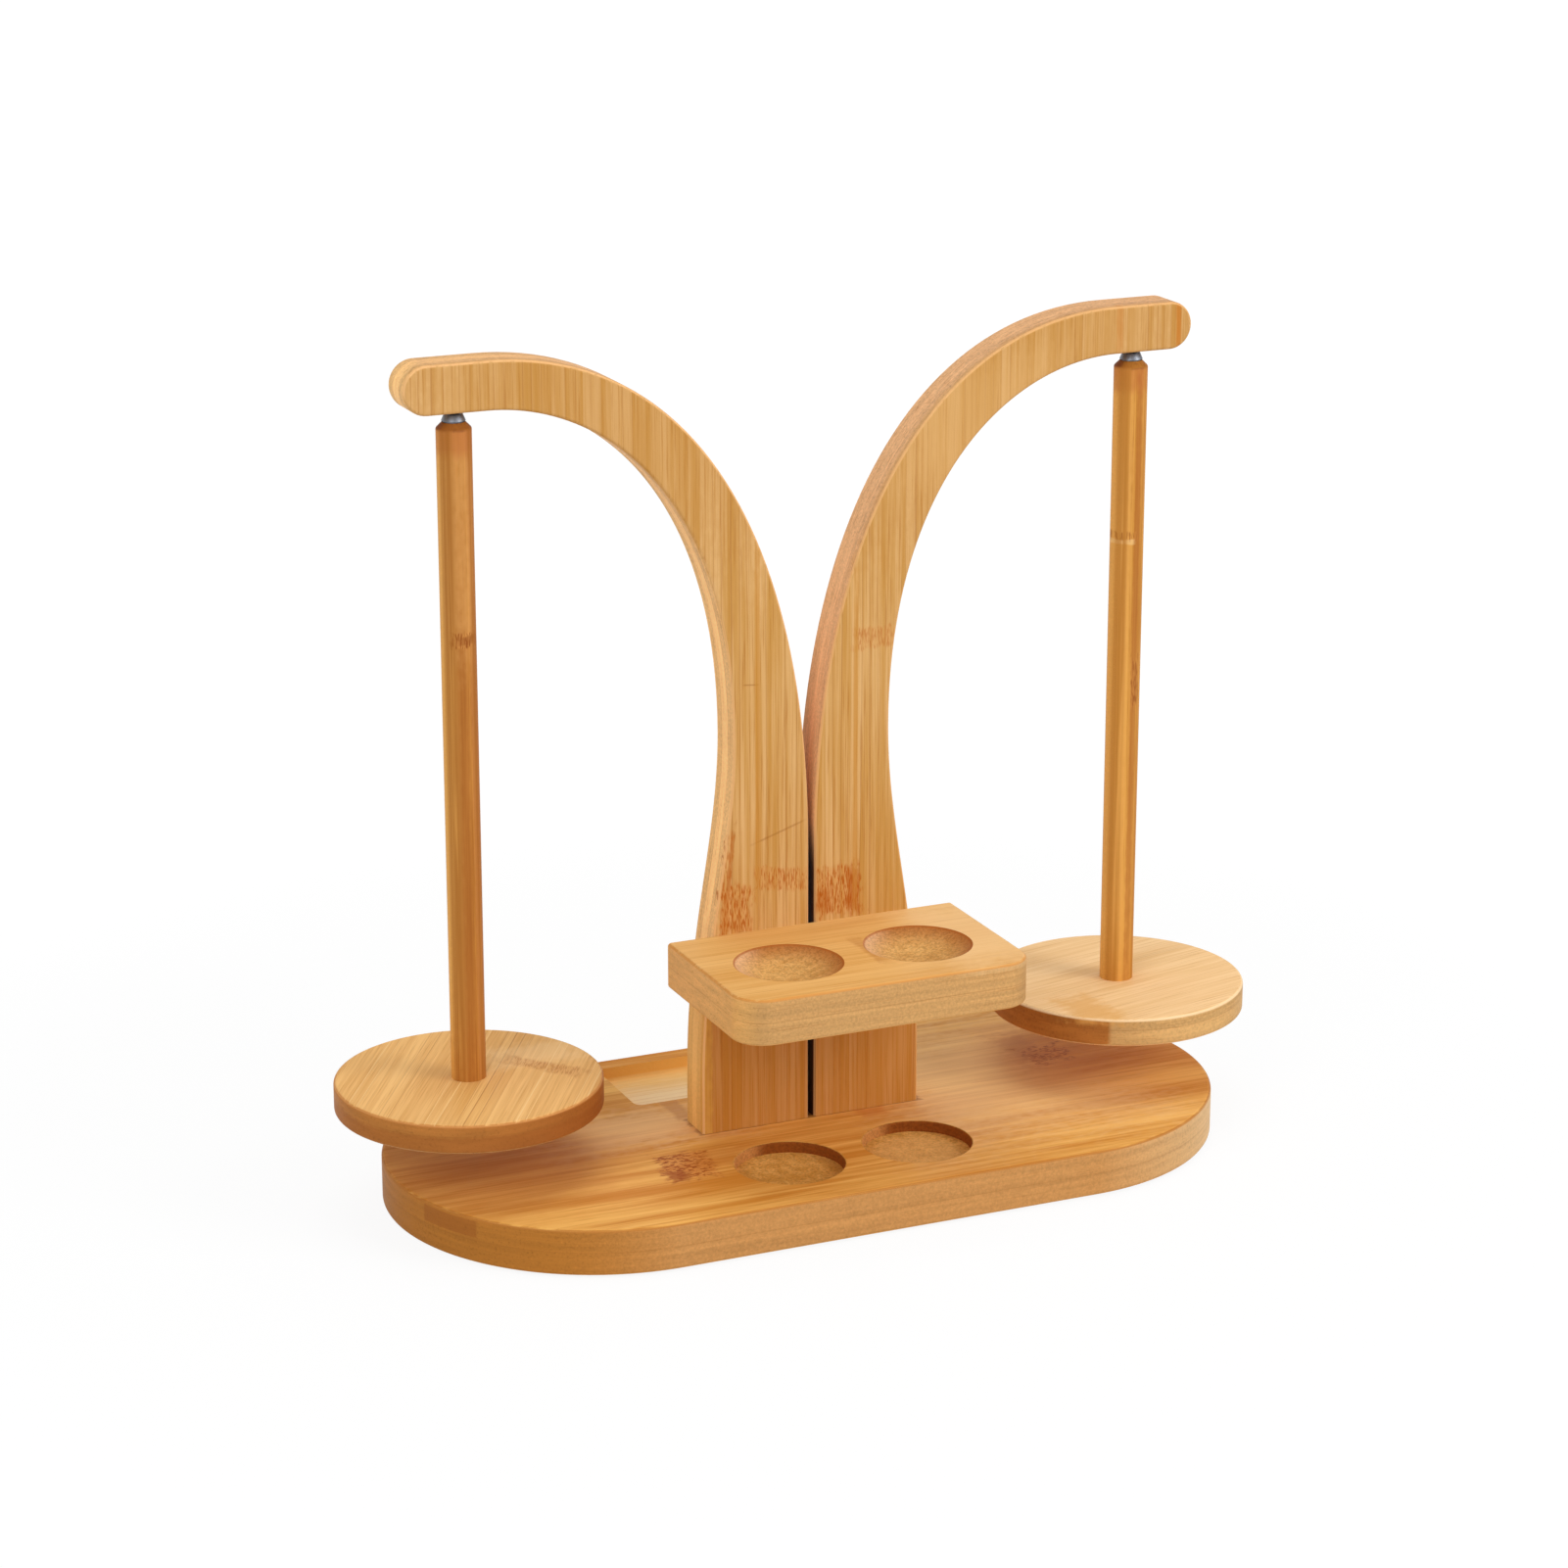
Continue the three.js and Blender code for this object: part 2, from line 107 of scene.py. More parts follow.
# Spindles
REACH = 122
SPINDLE_Y = 1.5
PLATE_RADIUS = 45
PLATE_THICKNESS = 10
PLATE_BOTTOM = 38.5
PLATE_TOP = PLATE_BOTTOM + PLATE_THICKNESS
ROD_RADIUS = 5.8
ROD_TOP = 271.2
ROD_TOP_CHAMFER = 2
ROD_SOCKET = 4
BALL_RADIUS = 2.5
SOCKET_RIM_RISE = 1.6
TIP_HEAD = 2.6
TIP_RIM_RADIUS = 3
TIP_RIM_ROUND = 0.25
TIP_FOOT_RADIUS = 4
TIP_FOOT_ROUND = 0.2
SHANK_RADIUS = 3.4
SHANK_LENGTH = 10
SHANK_ROUND = 0.5
MAGNET_RADIUS = 4
MAGNET_THICKNESS = 5
MAGNET_BOTTOM = 275

# Screws and dowels
SCREW_RADIUS = 2
SCREW_CORE = 1.4
SCREW_HEAD_RADIUS = 4
SCREW_HEAD_RIM = 0.4
SCREW_HEAD_HEIGHT = 2.6
SCREW_POINT = 5
SCREW_PITCH = 1.8
CROSS_LENGTH = 4.2
CROSS_WIDTH = 1
CROSS_DEPTH = 1.6
FOOT_SCREWS = {"inner": 11, "outer": 30}
FOOT_SCREW_LENGTH = 41
SHELF_SCREW_X = 14
SHELF_SCREW_LENGTH = 33
PLATE_SCREW_LENGTH = 28
DOWEL_X = 29
DOWEL_RADIUS = 3
DOWEL_LENGTH = 22
DOWEL_IN_ARM = 10
FASTENER_Z = 80

# Pads
PAD_RADIUS = 6
PAD_THICKNESS = 1
PAD_X = 95
PAD_Y = 48

# Smoothness
CURVE_STEPS = 48
CORNER_STEPS = 5
ROUND_STEPS = 96
BEVEL_STEPS = 4
THREAD_STEPS = 6
SHARP_ANGLE = radians(30)


# Paths and forms

def eased(corners):
    """Points of a path whose corners, given as x, y and radius, are rounded."""
    path = []
    for i, (x, y, radius) in enumerate(corners):
        corner = Vector((x, y))
        if radius == 0:
            path.append(corner)
            continue
        before = (Vector(corners[i - 1][:2]) - corner).normalized()
        after = (Vector(corners[(i + 1) % len(corners)][:2]) - corner).normalized()
        steps = CORNER_STEPS if radius < SHELF_CORNER else 4 * CORNER_STEPS
        for k in range(steps + 1):
            angle = pi / 2 * k / steps
            path.append(corner + radius * ((1 - sin(angle)) * before + (1 - cos(angle)) * after))
    return path


def bezier(start, first, second, end):
    """Points of a curve with two handles."""
    path = []
    for k in range(CURVE_STEPS + 1):
        s = k / CURVE_STEPS
        r = 1 - s
        weighted = ((r ** 3, start), (3 * r * r * s, first), (3 * r * s * s, second), (s ** 3, end))
        path.append(sum((weight * Vector(point) for weight, point in weighted), Vector((0, 0))))
    return path


def arc(x, y, radius, start, end, steps):
    """Points of an arc from the start angle to the end angle, in degrees."""
    turns = [radians(start + (end - start) * k / steps) for k in range(steps + 1)]
    return [Vector((x + radius * cos(a), y + radius * sin(a))) for a in turns]


def prism(outline, thickness):
    """A sharp-edged board that lies on z = 0."""
    form = bmesh.new()
    floor = [form.verts.new((x, y, 0)) for x, y in outline]
    roof = [form.verts.new((x, y, thickness)) for x, y in outline]
    form.faces.new(floor)
    form.faces.new(roof)
    for i in range(len(outline)):
        form.faces.new((floor[i - 1], floor[i], roof[i], roof[i - 1]))
    bmesh.ops.recalc_face_normals(form, faces=form.faces)
    return form


def slab(outline, thickness):
    """A board that lies on z = 0, with both its rims rounded over."""
    form = prism(outline, thickness)
    rims = [e for e in form.edges if e.verts[0].co.z == e.verts[1].co.z]
    bmesh.ops.bevel(form, geom=rims, offset=EDGE_ROUND, segments=BEVEL_STEPS, profile=0.5, affect="EDGES")
    return form


def turned(profile, steps=ROUND_STEPS):
    """A body of revolution about +Z from radius and height pairs that start and end on the axis."""
    form = bmesh.new()
    rings = []
    for radius, height in profile:
        count = steps if radius > 0 else 1
        angles = [2 * pi * i / count for i in range(count)]
        rings.append([form.verts.new((radius * cos(a), radius * sin(a), height)) for a in angles])
    skin(form, rings, steps)
    return form


def skin(form, rings, steps):
    """Faces between each ring and the next; a ring of one vertex is a pole."""
    for low, high in zip(rings, rings[1:]):
        for i in range(steps):
            j = (i + 1) % steps
            corners = (low[i % len(low)], low[j % len(low)], high[j % len(high)], high[i % len(high)])
            form.faces.new(list(dict.fromkeys(corners)))
    bmesh.ops.recalc_face_normals(form, faces=form.faces)


def moved(form, x=0, y=0, z=0, turn=0, axis="X"):
    """The form turned by an angle in degrees, then moved."""
    bmesh.ops.transform(form, matrix=Matrix.Rotation(radians(turn), 4, axis), verts=form.verts)
    bmesh.ops.translate(form, vec=(x, y, z), verts=form.verts)
    return form


def halved(form, point, outwards):
    """The form cut flat by a plane, with what lies beyond it taken off."""
    everything = form.verts[:] + form.edges[:] + form.faces[:]
    bmesh.ops.bisect_plane(form, geom=everything, plane_co=point, plane_no=outwards, clear_outer=True)
    open_edges = [e for e in form.edges if e.is_boundary]
    bmesh.ops.edgeloop_fill(form, edges=open_edges)
    bmesh.ops.recalc_face_normals(form, faces=form.faces)
    return form


def scratch(form):
    """A short-lived object that holds a form."""
    mesh = bpy.data.meshes.new("scratch")
    form.to_mesh(mesh)
    form.free()
    thing = bpy.data.objects.new("scratch", mesh)
    bpy.context.scene.collection.objects.link(thing)
    return thing


def carved(form, cutters):
    """The form with the cutters taken away; the faces that they leave take the second finish."""
    tools = bmesh.new()
    for cutter in cutters:
        for face in cutter.faces:
            face.material_index = 1
        mesh = bpy.data.meshes.new("cutter")
        cutter.to_mesh(mesh)
        cutter.free()
        tools.from_mesh(mesh)
        bpy.data.meshes.remove(mesh)
    body = scratch(form)
    blade = scratch(tools)
    for mesh in (body.data, blade.data):
        mesh.materials.append(None)
        mesh.materials.append(None)
    cut = body.modifiers.new("cut", "BOOLEAN")
    cut.object = blade
    cut.solver = "EXACT"
    result = bmesh.new()
    result.from_object(body, bpy.context.evaluated_depsgraph_get())
    for thing in (body, blade):
        mesh = thing.data
        bpy.data.objects.remove(thing)
        bpy.data.meshes.remove(mesh)
    return result


def piece(name, form, finishes, body, slot, *nodes):
    """An object in metres that rides on a body and stands for the CAD nodes."""
    bmesh.ops.scale(form, vec=(0.001, 0.001, 0.001), verts=form.verts)
    mesh = bpy.data.meshes.new(name)
    form.to_mesh(mesh)
    form.free()
    for finish in finishes:
        mesh.materials.append(finish)
    mesh.shade_smooth()
    mesh.set_sharp_from_angle(angle=SHARP_ANGLE)
    thing = bpy.data.objects.new(name, mesh)
    bpy.context.scene.collection.objects.link(thing)
    normals = thing.modifiers.new("flat faces stay flat", "WEIGHTED_NORMAL")
    normals.keep_sharp = True
    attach(thing, body)
    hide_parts(*nodes)
    return thing


# Wooden pieces

def screw_hole(length):
    """Countersunk hole whose mouth is the face at z = 0."""
    hole = SCREW_RADIUS + CLEARANCE
    sink = SCREW_HEAD_RADIUS + CLEARANCE
    return turned([
        (0, -OVERCUT),
        (sink, -OVERCUT),
        (sink, CLEARANCE + SCREW_HEAD_RIM),
        (hole, CLEARANCE + SCREW_HEAD_HEIGHT),
        (hole, length + 2 * CLEARANCE),
        (0, length + 2 * CLEARANCE),
    ], CURVE_STEPS)


def dowel_hole():
    radius = DOWEL_RADIUS + CLEARANCE
    end = DOWEL_LENGTH + CLEARANCE
    return turned([(0, -CLEARANCE), (radius, -CLEARANCE), (radius, end), (0, end)], CURVE_STEPS)


def cup_cutter():
    """A cup's hollow, its mouth at z = 0, with a fillet round the floor and an eased rim."""
    return turned([(0, -BASE_CUP_DEPTH)] + eased([
        (CUP_RADIUS, -BASE_CUP_DEPTH, FLOOR_FILLET),
        (CUP_RADIUS, 0, 0),
    ])[:-1] + flared_rim(CUP_RADIUS))


def flared_rim(radius):
    """The rest of a hollow's profile: a rim rounded over, then up to the cutter's top."""
    rim = arc(radius + RIM_ROUND, -RIM_ROUND, RIM_ROUND, 180, 90, CORNER_STEPS)
    return rim + [Vector((radius + RIM_ROUND, OVERCUT)), Vector((0, OVERCUT))]


def dish_cutter():
    """A shallow dish, a cap of a sphere, with its mouth at z = 0."""
    sphere = (CUP_RADIUS ** 2 + DISH_DEPTH ** 2) / (2 * DISH_DEPTH)
    half = asin(CUP_RADIUS / sphere)
    profile = []
    for k in range(CURVE_STEPS // 2 + 1):
        angle = half * 2 * k / CURVE_STEPS
        profile.append((sphere * sin(angle), sphere - DISH_DEPTH - sphere * cos(angle)))
    return turned(profile + [(CUP_RADIUS, OVERCUT), (0, OVERCUT)])


def tray_cutter():
    """The long tray's hollow, its mouth at z = 0."""
    x, y, r = TRAY_LENGTH / 2, TRAY_WIDTH / 2, TRAY_CORNER
    form = slab(eased([(x, -y, r), (x, y, r), (-x, y, r), (-x, -y, r)]), TRAY_DEPTH + OVERCUT)
    return moved(form, z=-TRAY_DEPTH)


def make_base(finishes):
    """A board with half-round ends, two cups, a tray and the holes for the arms' screws."""
    end = BASE_WIDTH / 2
    straight = BASE_LENGTH / 2 - end
    outline = arc(straight, 0, end, -90, 90, 2 * CURVE_STEPS)
    outline += arc(-straight, 0, end, 90, 270, 2 * CURVE_STEPS)
    cutters = [moved(tray_cutter(), y=TRAY_Y, z=BASE_THICKNESS)]
    for side in SIDES.values():
        cutters.append(moved(cup_cutter(), side * CUP_SPACING / 2, BASE_CUP_Y, BASE_THICKNESS))
        for x in FOOT_SCREWS.values():
            cutters.append(moved(screw_hole(BASE_THICKNESS + OVERCUT), side * x, SPINDLE_Y, 0))
    form = moved(carved(slab(outline, BASE_THICKNESS), cutters), z=BASE_TOP - BASE_THICKNESS)
    piece("bamboo_base", form, finishes, "stand", "bamboo_board", "base_board")


def arm_outline(side):
    """One arm from the front: up the seam, out over the spindle and back down inside."""
    under = ARM_HEIGHT - TIP_BAND
    band = TIP_BAND / 2
    path = [Vector((SEAM, -OVERCUT))]
    path += bezier((SEAM, SEAM_HEIGHT), *OUTER_HANDLES, (BEND_END, ARM_HEIGHT))
    path += arc(TIP_CENTRE, under + band, band, 90, -90, CURVE_STEPS // 2)
    path += bezier((BEND_END, under), *INNER_HANDLES, (WAIST_EDGE, WAIST_HEIGHT))
    path += bezier((WAIST_EDGE, WAIST_HEIGHT), *CALF_HANDLES, (FOOT_EDGE, FOOT_HEIGHT))[1:]
    path += [Vector((FOOT_EDGE, -OVERCUT))]
    return [(side * x, z) for x, z in path]


def make_arm(name, side, finishes):
    """One arm, upright, with its magnet's seat and the holes behind the shelf."""
    form = moved(slab(arm_outline(side), ARM_THICKNESS), y=ARM_BACK, turn=90)
    form = halved(form, (0, 0, 0), (0, 0, -1))
    form = moved(form, z=BASE_TOP)
    radius = MAGNET_RADIUS + CLEARANCE
    depth = MAGNET_THICKNESS + CLEARANCE
    seat = turned([(0, -OVERCUT), (radius, -OVERCUT), (radius, depth), (0, depth)], CURVE_STEPS)
    shelf_screw = screw_hole(ARM_THICKNESS + OVERCUT)
    cutters = [
        moved(seat, side * REACH, SPINDLE_Y, MAGNET_BOTTOM),
        moved(shelf_screw, side * SHELF_SCREW_X, ARM_BACK, FASTENER_Z, turn=90),
        moved(dowel_hole(), side * DOWEL_X, ARM_FRONT + DOWEL_IN_ARM, FASTENER_Z, turn=90),
    ]
    form = carved(form, cutters)
    piece(f"bamboo_{name}_arm", form, finishes, "stand", "bamboo_board", f"{name}_arm")


def make_shelf(finishes):
    outline = eased([
        (SHELF_HALF, OVERCUT, 0),
        (-SHELF_HALF, OVERCUT, 0),
        (-SHELF_HALF, -SHELF_DEPTH, SHELF_CORNER),
        (SHELF_HALF, -SHELF_DEPTH, SHELF_CORNER),
    ])
    form = halved(slab(outline, SHELF_THICKNESS), (0, 0, 0), (0, 1, 0))
    cutters = []
    for side in SIDES.values():
        cutters.append(moved(dish_cutter(), side * CUP_SPACING / 2, -DISH_CENTRE, SHELF_THICKNESS))
    form = moved(carved(form, cutters), y=ARM_FRONT, z=SHELF_BOTTOM)
    piece("bamboo_shelf", form, finishes, "stand", "bamboo_shelf", "notions_shelf")


def make_plate(name, side, finishes):
    profile = eased([
        (0, 0, 0),
        (PLATE_RADIUS, 0, EDGE_ROUND),
        (PLATE_RADIUS, PLATE_THICKNESS, EDGE_ROUND),
        (0, PLATE_THICKNESS, 0),
    ])
    floor = PLATE_THICKNESS - ROD_SOCKET
    top = PLATE_THICKNESS + OVERCUT
    rod = turned([(0, floor), (ROD_RADIUS, floor), (ROD_RADIUS, top), (0, top)])
    # The screw's hole ends just below the socket, so that the two cutters stay apart
    form = carved(turned(profile, 2 * ROUND_STEPS), [rod, screw_hole(floor - 1)])
    form = moved(form, side * REACH, SPINDLE_Y, PLATE_BOTTOM)
    piece(f"bamboo_{name}_plate", form, finishes, f"{name}_spindle", "bamboo_board", f"{name}_yarn_plate")


def make_rod(name, side, finishes):
    foot = PLATE_TOP - ROD_SOCKET
    bore = SHANK_RADIUS + CLEARANCE
    profile = eased([
        (0, foot, 0),
        (ROD_RADIUS, foot, CLEARANCE),
        (ROD_RADIUS, ROD_TOP - ROD_TOP_CHAMFER, SMALL_ROUND),
        (ROD_RADIUS - ROD_TOP_CHAMFER, ROD_TOP, 0),
        (bore, ROD_TOP, 0),
        (bore, ROD_TOP - SHANK_LENGTH - CLEARANCE, 0),
        (0, ROD_TOP - SHANK_LENGTH - CLEARANCE, 0),
    ])
    form = moved(turned(profile), side * REACH, SPINDLE_Y, 0)
    piece(f"bamboo_{name}_rod", form, finishes, f"{name}_spindle", "bamboo_rod", f"{name}_rod")


# Steel pieces

def make_tip(name, side, finishes):
    """Tapered steel collar that holds the ball in a round socket, on a shank in the rod."""
    centre = TIP_HEAD - SOCKET_RIM_RISE
    socket = BALL_RADIUS + CLEARANCE
    mouth = acos(SOCKET_RIM_RISE / socket)
    profile = [(0, centre - socket)]
    for k in range(1, CURVE_STEPS // 2 + 1):
        angle = pi - (pi - mouth) * 2 * k / CURVE_STEPS
        profile.append((socket * sin(angle), centre + socket * cos(angle)))
    profile += eased([
        (profile[-1][0], TIP_HEAD, 0),
        (TIP_RIM_RADIUS, TIP_HEAD, TIP_RIM_ROUND),
        (TIP_FOOT_RADIUS, CLEARANCE, TIP_FOOT_ROUND),
        (SHANK_RADIUS, CLEARANCE, 0),
        (SHANK_RADIUS, -SHANK_LENGTH, SHANK_ROUND),
        (0, -SHANK_LENGTH, 0),
    ])[1:]
    form = moved(turned(profile), side * REACH, SPINDLE_Y, ROD_TOP)
    piece(f"steel_{name}_tip", form, finishes, f"{name}_tip", "polished_steel", f"{name}_steel_tip")


def make_ball(name, side, finishes):
    """The steel ball on which a spindle turns and swings."""
    profile = [(0, -BALL_RADIUS)]
    for k in range(1, CURVE_STEPS):
        angle = pi * k / CURVE_STEPS
        profile.append((BALL_RADIUS * sin(angle), -BALL_RADIUS * cos(angle)))
    profile.append((0, BALL_RADIUS))
    form = moved(turned(profile), side * REACH, SPINDLE_Y, ROD_TOP + TIP_HEAD - SOCKET_RIM_RISE)
    piece(f"steel_{name}_ball", form, finishes, f"{name}_pivot", "polished_steel", f"{name}_bearing_ball")


def make_magnet(name, side, finishes):
    profile = eased([
        (0, 0, 0),
        (MAGNET_RADIUS, 0, SMALL_ROUND),
        (MAGNET_RADIUS, MAGNET_THICKNESS, SMALL_ROUND),
        (0, MAGNET_THICKNESS, 0),
    ])
    form = moved(turned(profile), side * REACH, SPINDLE_Y, MAGNET_BOTTOM)
    piece(f"nickel_{name}_magnet", form, finishes, "stand", "magnet_nickel", f"{name}_magnet")


def screw(length):
    """Countersunk wood screw along +Z; the thread starts at a third of its length."""
    steps = CURVE_STEPS // 2
    form = bmesh.new()
    rings = [[form.verts.new((0, 0, 0))]]
    heights = [(0, SCREW_HEAD_RADIUS, 0), (SCREW_HEAD_RIM, SCREW_HEAD_RADIUS, 0)]
    heights += [(SCREW_HEAD_HEIGHT, SCREW_RADIUS, 0), (length / 3, SCREW_RADIUS, 0)]
    ring_rise = SCREW_PITCH / THREAD_STEPS
    count = int((length * 2 / 3 - 1) / ring_rise)
    for k in range(1, count):
        height = length / 3 + k * ring_rise
        core = SCREW_CORE * min(1, (length - height) / SCREW_POINT)
        heights.append((height, core, SCREW_RADIUS - SCREW_CORE))
    for height, radius, ridge in heights:
        ring = []
        for i in range(steps):
            phase = (height / SCREW_PITCH - i / steps) % 1
            reach = radius + ridge * max(0, 1 - 5 * abs(phase - 0.5)) * radius / SCREW_CORE
            angle = 2 * pi * i / steps
            ring.append(form.verts.new((reach * cos(angle), reach * sin(angle), height)))
        rings.append(ring)
    rings.append([form.verts.new((0, 0, length))])
    skin(form, rings, steps)
    return carved(form, [cross_cutter()])


def cross_cutter():
    """A screw's recess, one prism with the outline of a cross."""
    reach = CROSS_LENGTH / 2
    half = CROSS_WIDTH / 2
    arm = [Vector((reach, -half)), Vector((reach, half)), Vector((half, half))]
    outline = [Matrix.Rotation(pi / 2 * k, 2) @ corner for k in range(4) for corner in arm]
    return moved(prism(outline, 2 * CROSS_DEPTH), z=-CROSS_DEPTH)


def make_screws(name, side, finishes):
    """One side's four screws: two into the arm's foot, one into the shelf, one into the rod."""
    bottom = BASE_TOP - BASE_THICKNESS + CLEARANCE
    for place, x in FOOT_SCREWS.items():
        node = f"{name}_{place}_foot_screw"
        form = moved(screw(FOOT_SCREW_LENGTH), side * x, SPINDLE_Y, bottom)
        piece(f"zinc_{node}", form, finishes, "stand", "zinc_steel", node)
    node = f"{name}_shelf_screw"
    form = screw(SHELF_SCREW_LENGTH)
    form = moved(form, side * SHELF_SCREW_X, ARM_BACK - CLEARANCE, FASTENER_Z, turn=90)
    piece(f"zinc_{node}", form, finishes, "stand", "zinc_steel", node)
    node = f"{name}_plate_screw"
    form = moved(screw(PLATE_SCREW_LENGTH), side * REACH, SPINDLE_Y, PLATE_BOTTOM + CLEARANCE)
    piece(f"zinc_{node}", form, finishes, f"{name}_spindle", "zinc_steel", node)


def make_pad(name, side_x, side_y, finishes):
    profile = eased([
        (0, 0, 0),
        (PAD_RADIUS, 0, SMALL_ROUND),
        (PAD_RADIUS, PAD_THICKNESS, 0),
        (0, PAD_THICKNESS, 0),
    ])
    form = moved(turned(profile), side_x * PAD_X, side_y * PAD_Y, 0)
    piece(f"rubber_{name}", form, finishes, "stand", "pad_rubber", name)


# Materials

class Finish:
    """A material whose nodes are added one by one; each call returns the new node's output."""

    def __init__(self, name, roughness, metallic=0.0):
        self.material = bpy.data.materials.new(name)
        self.material.use_nodes = True
        self.tree = self.material.node_tree
        self.surface = self.tree.nodes["Principled BSDF"]
        self.surface.inputs["Roughness"].default_value = roughness
        self.surface.inputs["Metallic"].default_value = metallic
        self.surface.inputs["Specular IOR Level"].default_value = 0.06

    def feed(self, socket, value):
        """Links a socket to another node's output, or sets its value."""
        if isinstance(value, bpy.types.NodeSocket):
            self.tree.links.new(value, socket)
        else:
            socket.default_value = value

    def node(self, kind, values, output=0, **settings):
        """A new node with these values in its inputs; returns one of its outputs."""
        made = self.tree.nodes.new(kind)
        for key, value in settings.items():
            setattr(made, key, value)
        for key, value in values.items():
            self.feed(made.inputs[key], value)
        return made.outputs[output]

    def math(self, operation, *values):
        return self.node("ShaderNodeMath", dict(enumerate(values)), operation=operation)

    def scaled(self, value, factor, offset=0.0):
        return self.math("MULTIPLY_ADD", value, factor, offset)

    def vector(self, x, y, z):
        return self.node("ShaderNodeCombineXYZ", {"X": x, "Y": y, "Z": z})

    def noise(self, vector, detail=2.0, roughness=0.5):
        values = {"Vector": vector, "Scale": 1.0, "Detail": detail, "Roughness": roughness}
        return self.node("ShaderNodeTexNoise", values)

    def step(self, value, low, high, top=1.0):
        """Rises smoothly from 0 at low to top at high; low may lie above high."""
        flipped = low > high
        ends = (high, low, top, 0.0) if flipped else (low, high, 0.0, top)
        return self.node("ShaderNodeMapRange", {0: value, **dict(enumerate(ends, 1))},
                         interpolation_type="SMOOTHSTEP")

    def mix(self, factor, first, second):
        return self.node("ShaderNodeMix", {0: factor, 6: first, 7: second}, 2, data_type="RGBA")

    def toned(self, colour, factor):
        return self.node("ShaderNodeVectorMath", {0: colour, "Scale": factor}, operation="SCALE")

    def millimetres(self):
        """The three coordinates of the point on the piece."""
        place = self.node("ShaderNodeTexCoord", {}, "Object")
        return self.node("ShaderNodeVectorMath", {0: place, "Scale": 1000.0}, operation="SCALE")

    def chances(self, *values):
        """Three random values that stay the same for the same three inputs."""
        made = self.node("ShaderNodeTexWhiteNoise", {"Vector": self.vector(*values)}, "Color",
                         noise_dimensions="3D")
        return self.split(made).values()

    def split(self, vector):
        made = self.tree.nodes.new("ShaderNodeSeparateXYZ")
        self.feed(made.inputs[0], vector)
        return dict(zip("XYZ", made.outputs))

    def finish(self, colour, roughness, height, depth):
        """Colour, roughness and bump; depth is the bump's full height in millimetres."""
        self.feed(self.surface.inputs["Base Color"], colour)
        self.feed(self.surface.inputs["Roughness"], roughness)
        bump = self.node("ShaderNodeBump", {"Strength": 1.0, "Distance": depth / 1000, "Height": height})
        self.feed(self.surface.inputs["Normal"], bump)
        return self.material


def srgb(red, green, blue):
    """A colour for a shader, from the usual 0 to 255 values."""
    def linear(c):
        c /= 255
        return c / 12.92 if c <= 0.04045 else ((c + 0.055) / 1.055) ** 2.4
    return (linear(red), linear(green), linear(blue), 1.0)


# Colours that the bamboo pieces share
GLUE = srgb(154, 92, 38)
PALE_GLUE = srgb(250, 216, 156)
FIBRE = srgb(166, 102, 42)
SCAR = srgb(176, 90, 20)
HAZE = srgb(212, 144, 74)
SMUDGE = srgb(178, 112, 52)
LINE = srgb(196, 136, 58)
# A dark brown for darker wood, and also the painted shade on the walls of hollows
DARK_WOOD_AND_SHADE = srgb(150, 84, 34)
# Painted shade for the seam between the arms
SEAM_PAINTED_SHADE = srgb(56, 22, 6)
# Edge colours that change with the way an edge faces, partly the wood and partly painted light
EDGE_TONE_AND_LIGHT = (srgb(200, 146, 92), srgb(212, 162, 110), (-0.8, 0.8))
# The rounded rims' colour, partly wear and partly a painted highlight
RIM_WEAR_AND_HIGHLIGHT = srgb(244, 196, 136)


class Mark(NamedTuple):
    """A mark in the wood, some of them painted light and shade: a box about a place, turned about the axis
    of the layers.

    Its place and half sizes are in millimetres. ragged and soft say how uneven and how soft
    its border is, as shares of its size, and a dashed mark is broken up along the grain.
    """

    place: tuple
    half: tuple
    colour: tuple = SMUDGE
    strength: float = 0.6
    turn: float = 0.0
    ragged: float = 1.0
    soft: float = 0.2
    dashed: bool = False


